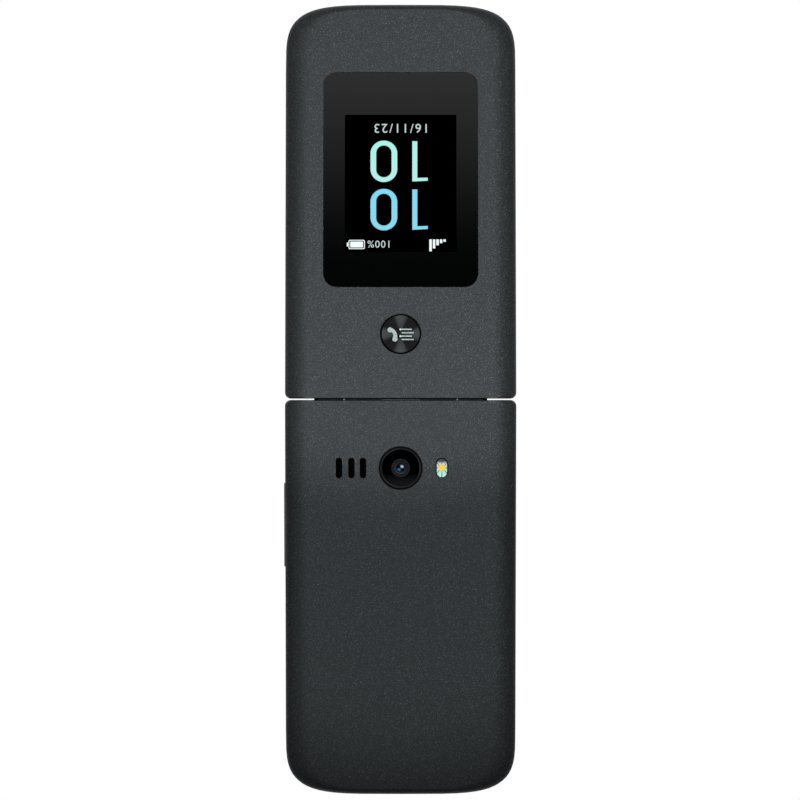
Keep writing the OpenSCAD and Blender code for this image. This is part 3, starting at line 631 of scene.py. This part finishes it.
FINISH_OF = {
    "outer_display_lens": GLASS, "main_display_lens": GLASS,
    "outer_display_panel": PANEL, "main_display_panel": PANEL,
    "lid_inner_frame": flake_paint("lid_frame_paint", inner_display(0, 0, 0), LID_FACE_Z),
    "keypad_housing": flake_paint("housing_paint", deck(0, 0, 0), DECK_Z),
    "volume_rocker": casing,
    # Spun metal of the contacts key and navigation ring, with painted highlight fans
    "contacts_key": spun("contacts_metal", srgb(9, 10, 11), srgb(82, 86, 88), KEY_FACE, 4,
                         0.45, Specular_IOR_Level=0.1),
    "camera_ring": ring_with_painted_lip("camera_ring_metal"),
    "nav_ring": spun("nav_ring_metal", srgb(40, 42, 44), srgb(96, 99, 102), RING_FACE, 2,
                     0.32, Metallic=0.8),
    "lid_bumpers": RUBBER,
    "speaker_mesh": woven_mesh("speaker_cloth", srgb(7, 7, 8), Roughness=0.8,
                               Specular_IOR_Level=0.0),
    "earpiece_mesh": woven_mesh("earpiece_cloth", srgb(70, 72, 74), Roughness=0.5, Metallic=0.6),
    "lid_board": BOARD, "main_board": BOARD,
    "dome_sheet": foil("dome_foil", srgb(196, 190, 168)),
    "battery": foil("battery_foil", srgb(178, 181, 186)),
    "keypad_mat": SILICONE, "nav_pad": SILICONE,
    "chassis": CHASSIS, "loudspeaker": CHASSIS, "camera_module": CHASSIS, "headset_jack": CHASSIS,
    "battery_contacts": GOLD, "microphone": GOLD,
    "hinge_pin": BURNISHED, "hinge_module": BURNISHED,
    "flash_led": moulded("phosphor", srgb(246, 214, 66), 0.5, 0.1),
}
# Keys that aren't named above are black, and all that is left is steel
for name, node in frame["nodes"].items():
    look = FINISH_OF.get(name)
    if look is None:
        look = KEY_BLACK if "key" in name and name != "lid_key_switch" else STEEL
    for material_slot in node.material_slots:
        material_slot.material = look


# Corners closer than this are one; faces that turn less than this are one
SEAM_GAP = 0.002 * MM
FLAT_ENOUGH = math.radians(0.3)
SKIN_CREASE = 32


def skin(node, look):
    """A faceted CAD shell with its seams merged and its rolled edges shaded smooth."""
    source = frame["nodes"][node]
    bm = bmesh.new()
    bm.from_mesh(source.data)
    bmesh.ops.remove_doubles(bm, verts=bm.verts, dist=SEAM_GAP)
    bmesh.ops.dissolve_limit(bm, angle_limit=FLAT_ENOUGH, verts=bm.verts, edges=bm.edges)
    mesh = bpy.data.meshes.new(node + "_skin")
    bm.to_mesh(mesh)
    bm.free()
    obj = dressed(mesh, look, source["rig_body"], SKIN_CREASE)
    weighted = obj.modifiers.new("even_faces", "WEIGHTED_NORMAL")
    weighted.keep_sharp = True
    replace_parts(obj, node)


skin("lid_outer_cover", casing)
skin("back_cover", casing)
skin("chassis", CHASSIS)

# ---- Hinge seam ----

BARREL_TOP = side(SEAM, (0, 0, 0), (-1, 0, 0), (0, 1, 0))
# Felt, a black sheet of painted shade, and ribs: from inside the barrel's skin to their faces, out
# from the hinge axis
SHADE_FELT_OUT = (8.1, 8.3)
RIB_OUT = (8.1, 8.45)
SHADE_FELT_HALF = 0.6
# Black sheet of painted shade for the hinge slit and the key's gap
seal_felt = moulded("seal_felt", srgb(3, 3, 4), 0.9, 0.1, 0.3, Specular_IOR_Level=0.0)


def strips(spans, low, high, bottom, top):
    """Bars along the barrel, one over each span of x."""
    middle = (low + high) / 2
    return joined(*[slab(rounded(x1 - x0, high - low, 0.04, 4) + [(x0 + x1) / 2, middle],
                         bottom, top) for x0, x1 in spans])


def knuckle_trim(name, spans, ribs, edges, look, body):
    """Black felt that paints shade into the slit over the knuckles, and the low rib that stands in
    it.
    """
    piece(name + "_felt", strips(spans, -SHADE_FELT_HALF, SHADE_FELT_HALF, *SHADE_FELT_OUT), BARREL_TOP, seal_felt,
          body, "soft_rubber")
    piece(name + "_rib", strips(ribs, *edges, *RIB_OUT), BARREL_TOP, look, body, "casing")


knuckle_black = moulded("knuckle_plastic", srgb(36, 39, 41), 0.6, Specular_IOR_Level=0.2)
washer_grey = moulded("washer_plastic", srgb(140, 146, 149), 0.6, Specular_IOR_Level=0.2)
knuckle_trim("middle_knuckle", [(-4.88, 4.88)], [(-4.8, 4.8)], (-0.165, -0.01), casing, "base")
knuckle_trim("end_knuckles", [(-21.4, -13.95), (13.95, 21.4)], [(-20.5, -14.35), (14.35, 20.5)],
             (-0.19, -0.05), knuckle_black, "base")
knuckle_trim("lid_knuckles", [(-13.85, -4.92), (4.92, 13.85)], [(-13.85, -5.0), (5.0, 13.85)],
             (-0.19, -0.05), knuckle_black, "lid")
piece("knuckle_washers", strips([(-14.3, -13.9), (13.9, 14.3)], -0.205, 0.1, *RIB_OUT),
      BARREL_TOP, washer_grey, "base", "casing")

# ---- Outer display ----

LENS_Z = span(LID, "outer_display_lens")[0][2]
SCREEN = [28, 35.1]
SCREEN_Y = 53.35
STATUS_Y = 37.8
DATE_Y = 67.4
# Thickness of a screen's sheet, and low and high of the figures on it
SHEET = 0.02
INK = [SHEET - 0.002, SHEET + 0.008]


def upright_one(height, thick):
    """Figure one: a bar with a short flag that leans off its top."""
    flag = thick * 3.1
    return np.array([[thick / 2, -height / 2], [thick / 2, height / 2],
                     [-thick / 2, height / 2 - 0.05], [thick / 2 - flag, height / 2 - 0.2],
                     [thick / 2 - flag, height / 2 - thick * 0.78],
                     [-thick / 2, height / 2 - thick * 0.72], [-thick / 2, -height / 2]])


def clock_figures(low, high):
    """A one and a tall round nought, side by side."""
    height, width, thick = 10.6, 6.7, 1.42
    nought = band(rounded(width, height, width / 2 - 0.02, 24),
                  rounded(width - 2 * thick, height - 2 * thick * 0.86,
                          width / 2 - thick - 0.02, 24), low, high)
    one = slab(upright_one(height - 0.3, thick * 0.88), low, high)
    return joined(moved(one, -3.55), moved(nought, 4.2))


def signal_bars(low, high):
    """Five bars that rise to the right."""
    heights = [0.6, 0.95, 1.5, 2.3, 3.05]
    return joined(*[slab(rounded(0.62, h, 0.08) + [i * 0.88, h / 2], low, high)
                    for i, h in enumerate(heights)])


def battery_sign(low, high):
    """Cell outline, its charge and its cap."""
    return joined(band(rounded(4.1, 2.35, 0.4), rounded(3.7, 1.95, 0.28), low, high),
                  slab(rounded(3.2, 1.5, 0.15), low, high),
                  slab(rounded(0.35, 1.0, 0.12) + [2.3, 0], low, high))


dark_screen = black_glass("dark_screen", (0.0, 0.0, 0.0, 1), 0.3, 0.34,
                          Specular_IOR_Level=0.0)
piece("outer_screen", slab(rounded(*SCREEN, 0.25), 0, SHEET),
      outer_display(0, SCREEN_Y, LENS_Z), dark_screen, "lid", "display_panel")
for name, y, colour, end in (("outer_hours", 46.6, SKY, srgb(137, 217, 238)),
                             ("outer_minutes", 58.95, MINT, srgb(180, 241, 232))):
    place = outer_display(0, y, LENS_Z)
    piece(name, clock_figures(*INK), place, lit(name + "_light", colour, end, place, 5.0),
          "lid", "display_panel")
status = joined(moved(signal_bars(*INK), -11.0, -1.2), moved(battery_sign(*INK), 11.0, 0.1))
WHITE_LIGHT = lit("status_light", srgb(240, 254, 252))
DIM_LIGHT = lit("small_figures_light", srgb(196, 217, 213))
piece("outer_signs", status, outer_display(0, STATUS_Y, LENS_Z), WHITE_LIGHT, "lid",
      "display_panel")
piece("outer_charge", numerals("100%", 1.8, *INK, 1.12), outer_display(5.55, STATUS_Y, LENS_Z),
      DIM_LIGHT, "lid", "display_panel")
piece("outer_date", numerals("16/11/23", 2.3, *INK, 1.2), outer_display(0, DATE_Y, LENS_Z),
      DIM_LIGHT, "lid", "display_panel")

# ---- Contacts key ----

# Low and high of a print on a flat face, and of one that has to clear a key's crown
PRINT = [-0.01, 0.015]
KEY_PRINT = [-0.03, 0.04]


def handset(low, high, scale=1.0, turn=0.0):
    """Receiver: a bow between two lobes, thin in the grip. Its path is a parabola,
    (1-t)^2 a + 2t(1-t) b + t^2 c, and its half width 0.45 + 0.2 |2t-1|^3."""
    a, b, c = np.array([[-1.05, 1.15], [0.55, 0.95], [0.2, -1.2]])

    def path(t):
        t = t[:, None]
        return (1 - t) ** 2 * a + 2 * t * (1 - t) * b + t ** 2 * c

    def half_width(t):
        return 0.45 + 0.2 * np.abs(2 * t - 1) ** 3

    return moved(slab(ribbon(path, half_width) * scale, low, high), turn=turn)


list_lines = [slab(bar(x, x + 3.1, y, 0.33), *PRINT)
              for x, y in ((-0.27, 1.17), (0.22, 0.3), (-0.27, -0.555), (0.22, -1.4))]
contacts_sign = joined(moved(handset(*PRINT), -1.62, -0.12), *list_lines)
pale_print = moulded("pale_print", srgb(205, 224, 218), 0.5, 0.1, 0.1)
piece("contacts_sign", contacts_sign, KEY_FACE, pale_print, "contacts_key", "silicone")
list_dots = joined(*[slab(circle(0.25, 24) + [-0.08, y], -0.01, 0.02) for y in (1.17, -0.555)])
white_print = moulded("white_print", srgb(250, 253, 252), 0.4, 0.1, 0.1)
piece("contacts_dots", list_dots, KEY_FACE, white_print, "contacts_key", "silicone")
# Black ring of painted shade in the gap round the contacts key
key_gap_shade = turned([(4.73, -0.55), (5.12, -0.55), (5.12, -0.15), (4.73, -0.15)])
piece("contacts_key_gap_shade", key_gap_shade, KEY_FACE, seal_felt, "lid", "soft_rubber")

# ---- Camera and flash ----

# Bore of the window round the lens barrel, and how deep the window reaches
LENS_BORE_R = 2.3
WINDOW_DEEP = -0.65


def funnel_glass(name):
    """Window over a black funnel, with painted light on the funnel's low side."""
    material, t, to = finish(name, Specular_IOR_Level=0.3)
    up = t.node("SeparateXYZ", t.local(CAMERA_FACE), out=1)
    # Painted light: the low side of the funnel is lighter
    painted_light_side = t.ramp(up, -1.2, -4.9)
    t.feed(to["Base Color"], t.blend(painted_light_side, (0.0002, 0.0002, 0.0002, 1), srgb(27, 30, 31)))
    t.feed(to["Roughness"], t.place(SMEARS, Clean=0.04, Rough=0.07)["Roughness"])
    return material


camera_cover = turned([(LENS_BORE_R, 0.0), (WINDOW_R, 0.0), (WINDOW_R, WINDOW_DEEP),
                       (LENS_BORE_R, WINDOW_DEEP)])
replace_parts(piece("camera_glass", camera_cover, CAMERA_FACE, funnel_glass("camera_glass"),
                  "base", "camera_glass"), "camera_window")
LENS_BARREL = [(LENS_BORE_R, -0.04), (LENS_BORE_R, -0.64), (0.98, -0.64), (0.98, -0.42),
               (1.28, -0.4), (1.34, -0.3), (1.56, -0.28), (1.64, -0.18), (1.9, -0.16),
               (2.0, -0.04)]


def stepped_barrel(name):
    """Black lens barrel, with painted highlights: a lighter rim, and a lighter step on its low
    side.
    """
    material, t, to = finish(name, Roughness=0.5, Specular_IOR_Level=0.1)
    place = t.local(CAMERA_FACE)
    radius = t.vector("LENGTH", t.vector("MULTIPLY", place, (1, 1, 0)), out=1)
    # Painted highlights: lighter rim and lighter step on the low side
    painted_light_side = t.ramp(t.vector("DOT_PRODUCT", place, (-0.6, -0.8, 0), out=1), -1.2, 1.2, 0.25, 1.0)
    step_highlight = t.ramp(t.math("ABSOLUTE", t.math("SUBTRACT", radius, 1.42)), 0.18, 0.05)
    colour = t.blend(t.ramp(radius, 1.7, 2.1), srgb(19, 20, 22), srgb(36, 38, 39))
    colour = t.blend(t.math("MULTIPLY", step_highlight, painted_light_side), colour, srgb(70, 76, 79))
    t.feed(to["Base Color"], colour)
    return material


piece("camera_barrel", turned(LENS_BARREL), CAMERA_FACE, stepped_barrel("lens_barrel"), "base",
      "camera_glass")


def cap_profile(r, rise, base, steps=10):
    """Spherical cap of radius r and rise, closed below by a flat."""
    a = np.linspace(0, math.pi / 2, steps)
    top = [(r * math.sin(v), base + rise * math.cos(v)) for v in a]
    return [(0, base - 0.05), (r, base - 0.05)] + top[::-1]


def lens_with_painted_glints(name):
    """Front lens: black, with blue and white glints painted into its colour."""
    colour = (0.001, 0.001, 0.002, 1)
    material, t, to = finish(name, colour, Roughness=0.05, Coat_Weight=1.0)
    place = t.local(CAMERA_FACE)
    # Painted glints: soft spots of blue and white
    for x, y, r, tint in ((0.42, 0.2, 0.68, srgb(30, 84, 128)),
                          (0.36, 0.32, 0.46, srgb(228, 242, 250)),
                          (-0.42, -0.58, 0.6, srgb(62, 132, 190))):
        away = t.vector("DISTANCE", t.vector("MULTIPLY", place, (1, 1, 0)), (x, y, 0), out=1)
        colour = t.blend(t.ramp(away, r, r * 0.4), colour, tint)
    t.feed(to["Base Color"], colour)
    return material


piece("camera_front_lens", turned(cap_profile(0.96, 0.2, -0.5)), CAMERA_FACE,
      lens_with_painted_glints("lens_painted_glints"), "base", "camera_glass")

lens_low, lens_high = span(BASE, "flash_lens")
FLASH_AT = ((lens_low[0] + lens_high[0]) / 2, (lens_low[1] + lens_high[1]) / 2)
FLASH_SIZE = lens_high[:2] - lens_low[:2]
FLASH_FACE = base_back(*FLASH_AT, lens_low[2])
FLASH_RIM = 0.27
FAN_W, FAN_H = FLASH_SIZE - 2 * FLASH_RIM
FAN_TOP = -0.22
FAN_UNDER = -0.26


def fan_lens(ribs, steps=192, rows=12):
    """Ribs that spread from the light to the rim. At part t of the way to the rim the height
    is 0.1 t^3 + 0.02 cos(ribs a) over the angle a, faded out at both ends."""
    rim = rounded(FAN_W, FAN_H, FAN_W / 2 - 0.01, steps // 4)
    angle = np.arctan2(rim[:, 1], rim[:, 0])
    t = np.linspace(0.04, 1, rows)[:, None]
    x, y = t * rim[:, 0], t * rim[:, 1]
    fade = np.clip((t - 0.25) / 0.3, 0, 1) * (1 - t ** 6)
    z = 0.1 * t ** 3 + 0.02 * np.cos(ribs * angle) * fade + FAN_TOP
    top = np.stack([x, y, z], -1).reshape(-1, 3)
    points = np.vstack([top, at_height(rim, FAN_UNDER), [[0, 0, FAN_TOP], [0, 0, FAN_UNDER]]])
    n, hub = len(rim), (rows + 1) * len(rim)
    faces = [face[::-1] for face in grid_faces(rows + 1, n)]
    faces += [[hub, i, (i + 1) % n] for i in range(n)]
    faces += [[hub + 1, rows * n + (i + 1) % n, rows * n + i] for i in range(n)]
    return points, faces


def glowing_flash_moulding(name):
    """Clear moulding over the light, with a painted glow though the flash is off: pale petals
    between dark lines, and painted shade at the top.
    """
    # Painted glow: the moulding emits its own colour
    material, t, to = finish(name, Roughness=0.25, Coat_Weight=0.3, Emission_Strength=0.42)
    place = t.local(FLASH_FACE)
    up = t.node("SeparateXYZ", place, out=1)
    across = t.node("SeparateXYZ", place, out=0)
    turn = t.math("ARCTAN2", across, t.math("MULTIPLY", up, -1.0))
    petals = t.math("COSINE", t.math("MULTIPLY", turn, 8.0))
    away = t.vector("LENGTH", t.vector("MULTIPLY", place, (1, 1, 0)), out=1)
    colour = t.blend(t.ramp(up, -0.5, 0.3), srgb(176, 232, 220), srgb(206, 208, 214))
    colour = t.blend(t.ramp(petals, 0.7, 1.0), colour, srgb(96, 120, 117))
    # Painted shade at the top of the moulding
    colour = t.blend(t.ramp(up, 0.95, 1.8), colour, srgb(74, 74, 78))
    star = t.math("MULTIPLY_ADD", petals, -0.08, 0.86)
    inside = t.ramp(t.math("SUBTRACT", away, star), 0.08, -0.06)
    colour = t.blend(inside, colour, srgb(250, 216, 66))
    t.feed(to["Base Color"], colour)
    t.feed(to["Emission Color"], colour)
    return material


def flash_rim(name):
    """Rim of the moulding: painted dark shade, with painted light at its low end."""
    material, t, to = finish(name, Roughness=0.4, Specular_IOR_Level=0.1)
    up = t.node("SeparateXYZ", t.local(FLASH_FACE), out=1)
    # Painted shade, and painted light at the low end
    t.feed(to["Base Color"], t.blend(t.ramp(up, -1.3, -2.3), srgb(8, 9, 10),
                                     srgb(90, 118, 112)))
    return material


piece("flash_fan", fan_lens(8), FLASH_FACE, glowing_flash_moulding("flash_moulding_painted_glow"), "base", "flash_lens",
      crease=60)
frame["nodes"]["flash_lens"].material_slots[0].material = flash_rim("flash_rim")

# ---- Keypad ----

CROWN_R = 60.0
LEGENDS = {"key_" + figure: figure for figure in "123456789"}
LEGENDS.update({"key_star": "*", "key_0": "0", "key_hash": "#"})
legend_print = moulded("legend_print", srgb(222, 226, 226), 0.45, 0.1, 0.1)
call_print = moulded("call_print", srgb(66, 196, 98), 0.45, 0.1, 0.1)
end_print = moulded("end_print", srgb(226, 70, 62), 0.45, 0.1, 0.1)


def on_key(shape, node, crown=True):
    """A legend's shape bent over the crown of its key, with the key's place."""
    low, high = span(BASE, node)
    points, faces = shape
    if crown:
        points = points - [0, 0, 1] * (points[:, 1:2] ** 2 / (2 * CROWN_R))
    centre = (low + high) / 2
    return (points, faces), deck(centre[0], centre[1], high[2])


def star(low, high):
    """Six short bars that cross in the middle."""
    return joined(*[moved(slab(bar(-1.05, 1.05, 0, 0.36), low, high), turn=k * math.pi / 3)
                    for k in range(3)])


for name, text in LEGENDS.items():
    shape = star(*KEY_PRINT) if text == "*" else numerals(text, 3.1, *KEY_PRINT)
    piece(name + "_legend", *on_key(shape, name), legend_print, name, "silicone")

piece("call_sign", *on_key(handset(*KEY_PRINT, 1.15, math.pi), "call_key"), call_print,
      "call_key", "silicone")
piece("end_sign", *on_key(handset(*KEY_PRINT, 1.15, math.radians(35)), "end_key"), end_print,
      "end_key", "silicone")
back_arrow = np.array([[-2.6, 0], [-1.2, -1.3], [2.4, -1.3], [2.4, 1.3], [-1.2, 1.3]])
clear_sign = band(back_arrow, back_arrow * 0.78 + [0.06, 0], *KEY_PRINT)
piece("clear_sign", *on_key(clear_sign, "clear_key"), legend_print, "clear_key", "silicone")
for name in ("soft_key_left", "soft_key_right"):
    piece(name + "_sign", *on_key(slab(bar(-1.8, 1.8, 0, 0.5), *PRINT), name, False),
          legend_print, name, "silicone")
arrow = np.array([[-0.8, -0.4], [0.8, -0.4], [0, 0.5]])
arrows = joined(*[moved(slab(arrow + [0, 7.6], *PRINT), turn=k * math.pi / 2) for k in range(4)])
piece("nav_arrows", arrows, RING_FACE, legend_print, "nav_ring", "silicone")
ok_top = span(BASE, "ok_key")[1][2]
piece("ok_sign", band(circle(1.5), circle(1.15), *PRINT), deck(0, NAV_Y, ok_top), legend_print,
      "ok_key", "silicone")

# ---- Inner display ----

GLASS_Z = span(LID, "main_display_lens")[1][2]
WIDE, TALL, MID_Y = 48.6, 64.8, 52.0
INNER = inner_display(0, MID_Y, GLASS_Z)


def wallpaper(name):
    """Night blue over soft hills of teal and mint: each hill is a sine line with a soft edge."""
    material, t, to = finish(name, Emission_Strength=0.85, Roughness=0.1)
    place = t.local(INNER)
    x = t.node("SeparateXYZ", place, out=0)
    y = t.node("SeparateXYZ", place, out=1)
    colour = t.blend(t.ramp(y, -30.0, 32.0), srgb(38, 96, 150), srgb(8, 18, 52))
    # Each hill's middle height, swing, waves a millimetre in radians, shift and tint
    for height, swing, wave, shift, tint in ((-2, 5.0, 0.1, 0.4, srgb(34, 120, 160)),
                                             (-10, 4.0, 0.14, 2.2, srgb(52, 164, 176)),
                                             (-18, 3.5, 0.12, 4.4, srgb(116, 214, 196))):
        line = t.math("SINE", t.math("MULTIPLY_ADD", x, wave, shift))
        level = t.math("MULTIPLY_ADD", line, swing, float(height))
        depth = t.math("SUBTRACT", level, y)
        cover = t.ramp(depth, -0.1, 0.15)
        fade = t.ramp(depth, 16.0, -2.0, 0.35, 1.0)
        colour = t.blend(t.math("MULTIPLY", cover, fade), colour, tint)
    t.feed(to["Emission Color"], colour)
    return material


piece("inner_screen", slab(rounded(WIDE, TALL, 0.4), 0, SHEET), INNER,
      wallpaper("wallpaper_light"), "lid", "display_panel")
top_line = joined(moved(signal_bars(*INK), -WIDE / 2 + 2, TALL / 2 - 4.6),
                  moved(battery_sign(*INK), WIDE / 2 - 4.6, TALL / 2 - 3.2))
menu_dots = [slab(rounded(1.1, 1.1, 0.3) + [x, y], *INK)
             for x in (-20.4, -18.6) for y in (-29.6, -27.8)]
centre_dot = band(circle(1.5) + [0, -28.7], circle(1.1) + [0, -28.7], *INK)
inner_signs = joined(top_line, *menu_dots, centre_dot,
                     moved(handset(*INK, 0.9, math.pi), 19.4, -28.7))
inner_light = lit("inner_signs_light", srgb(238, 246, 250))
piece("inner_signs", inner_signs, INNER, inner_light, "lid", "display_panel")
for name, text, height, y in (("inner_clock", "10:10", 8.4, 19.5),
                              ("inner_date", "16 / 11", 2.6, 11.5)):
    piece(name, moved(numerals(text, height, *INK), 0, y), INNER, inner_light, "lid",
          "display_panel")

# ---- Studio ----

VIEW_TILT = math.radians(10)
TO_CAMERA = Vector((0, math.sin(VIEW_TILT), -math.cos(VIEW_TILT)))
VIEW_UP = Vector((0, math.cos(VIEW_TILT), math.sin(VIEW_TILT)))
VIEW_DISTANCE = 1.8
# Middle of the gap between the backs, and how far from it the photograph is centred
GAP_CENTRE = Vector((0, HINGE.y + 0.00164, 0))
AIM_SHIFT = Vector((0.00016, 0, 0)) - VIEW_UP * 0.00017
FLOOR_PALE = srgb(236, 237, 238)


def studio_camera():
    """Long lens at the photograph's viewing angle, from beneath and a little past the hinge."""
    camera = bpy.data.cameras.new("camera")
    camera.lens = 325.0
    camera.sensor_width = 36.0
    camera.clip_end = 20.0
    obj = bpy.data.objects.new("camera", camera)
    axes = Matrix((VIEW_UP.cross(TO_CAMERA), VIEW_UP, TO_CAMERA)).transposed().to_4x4()
    at = GAP_CENTRE + AIM_SHIFT + TO_CAMERA * VIEW_DISTANCE
    obj.matrix_world = Matrix.Translation(at) @ axes
    bpy.context.scene.collection.objects.link(obj)
    bpy.context.scene.camera = obj


def softbox(name, at, aim, size, power):
    """Square area lamp, seen only by what it lights."""
    light = bpy.data.lights.new(name, "AREA")
    light.shape = "SQUARE"
    light.size = size
    light.energy = power
    hang(light, at, aim)


def spotlight(name, middle, reach, edge, level, tint=(1, 1, 1)):
    """Tinted lamp at the camera, over a round field about middle on the phone's long line. The
    field is full to reach and gone at edge, and level 1 shows a matt colour as it is written."""
    light = bpy.data.lights.new(name, "SPOT")
    light.spot_size = 2 * math.atan(edge / VIEW_DISTANCE)
    light.spot_blend = 1 - (reach / edge) ** 2
    light.shadow_soft_size = 0.006
    light.energy = level * 4 * math.pi ** 2 * VIEW_DISTANCE ** 2
    light.color = tint
    aim = Vector((0, middle, 0.005))
    hang(light, GAP_CENTRE + TO_CAMERA * VIEW_DISTANCE, aim, True)


def hang(light, at, aim, gloss=False):
    """Places a lamp that the camera doesn't see, and that gloss sees only when asked."""
    obj = bpy.data.objects.new(light.name, light)
    obj.location = at
    obj.rotation_euler = (Vector(aim) - Vector(at)).to_track_quat("-Z", "Y").to_euler()
    obj.visible_camera = False
    obj.visible_glossy = gloss
    bpy.context.scene.collection.objects.link(obj)


def studio_world():
    """White to the camera. Gloss sees a card beside the camera, light above and at both ends of
    the phone, and dark elsewhere. Matt surfaces get a weak light that grows upwards."""
    world = bpy.data.worlds.new("studio")
    world.use_nodes = True
    bpy.context.scene.world = world
    t = Tree(world.node_tree)
    background = world.node_tree.nodes["Background"]
    direction = t.node("TexCoord", out=0)
    across = t.math("ABSOLUTE", t.node("SeparateXYZ", direction, out=0))
    lengthways = t.math("ABSOLUTE", t.node("SeparateXYZ", direction, out=1))
    upward = t.node("SeparateXYZ", direction, out=2)
    ahead = t.vector("DOT_PRODUCT", direction, tuple(TO_CAMERA), out=1)
    aside = t.vector("DOT_PRODUCT", direction, tuple(VIEW_UP), out=1)
    # Degrees from the camera along the phone's long line
    angle = t.math("MULTIPLY", t.math("ARCTAN2", aside, ahead), 180 / math.pi)
    card = t.math("MULTIPLY", t.ramp(angle, 21.0, 23.6), t.ramp(angle, 42.0, 34.0))
    card = t.math("MULTIPLY", card, t.ramp(across, 0.35, 0.2))
    light_above = t.ramp(upward, 0.3, 0.9, 0.0, 0.85)
    at_ends = t.math("MULTIPLY", t.ramp(upward, 0.05, 0.5, 0.0, 0.6), t.ramp(lengthways, 0.25, 0.6))
    gloss = t.math("ADD", card, t.math("MAXIMUM", light_above, at_ends), clamp=True)
    ambient = t.ramp(upward, 0.1, 0.9, 0.05, 0.6)
    strength = t.node("Mix", t.node("LightPath", out=2), None, 1.0, ambient)
    strength = t.node("Mix", t.node("LightPath", out=3), None, strength, gloss)
    t.feed(background.inputs["Strength"], strength)
    background.inputs["Color"].default_value = (1, 1, 1, 1)


def pale_floor():
    """Pale floor just under the phone. Only a camera above it sees it; from beneath, and to
    light and reflections, it is open, so that the phone shows and is lit from both sides."""
    reach, drop = 2.0, 0.0003
    mesh = bpy.data.meshes.new("floor")
    corners = [(-reach, -reach, -drop), (reach, -reach, -drop), (reach, reach, -drop),
               (-reach, reach, -drop)]
    mesh.from_pydata(corners, [], [(0, 1, 2, 3)])
    material, t, to = finish("pale_floor", FLOOR_PALE, Roughness=0.9, Specular_IOR_Level=0.1)
    grain = t.place(GRAIN, Colour=FLOOR_PALE, Size=1.2, Shade=0.04)
    t.feed(to["Base Color"], grain["Colour"])
    seen = t.math("MULTIPLY", t.node("LightPath", out=0),
                  t.math("SUBTRACT", 1.0, t.node("NewGeometry", out=6)))
    away = t.vector("LENGTH", t.here(), out=1)
    open_air = t.node("BsdfTransparent")
    glow = t.node("Emission", (1, 1, 1, 1), 1.0)
    shaded = t.node("MixShader", t.ramp(away, 0.16, 0.5),
                    material.node_tree.nodes["Principled BSDF"].outputs[0], glow)
    result = t.node("MixShader", seen, open_air, shaded)
    t.feed(material.node_tree.nodes["Material Output"].inputs["Surface"], result)
    mesh.materials.append(material)
    floor = bpy.data.objects.new("floor", mesh)
    bpy.context.scene.collection.objects.link(floor)


studio_camera()
studio_world()
pale_floor()
# Middle, full reach and edge of each field in metres, then its level and tint
spotlight("lid_spot", 0.1, 0.1078, 0.1259, 0.264)
spotlight("body_spot", 0.018, 0.0862, 0.1285, 0.326, (0.95, 1, 1.01))
# Place, aim, size in metres and power in watts
softbox("top_softbox", (0.36, -0.3, 0.76), (0, 0, 0), 0.5, 4.6)
softbox("top_fill", (-0.36, 0.3, 0.76), (0, 0, 0), 0.5, 3.4)
bpy.context.scene.view_settings.view_transform = "Standard"
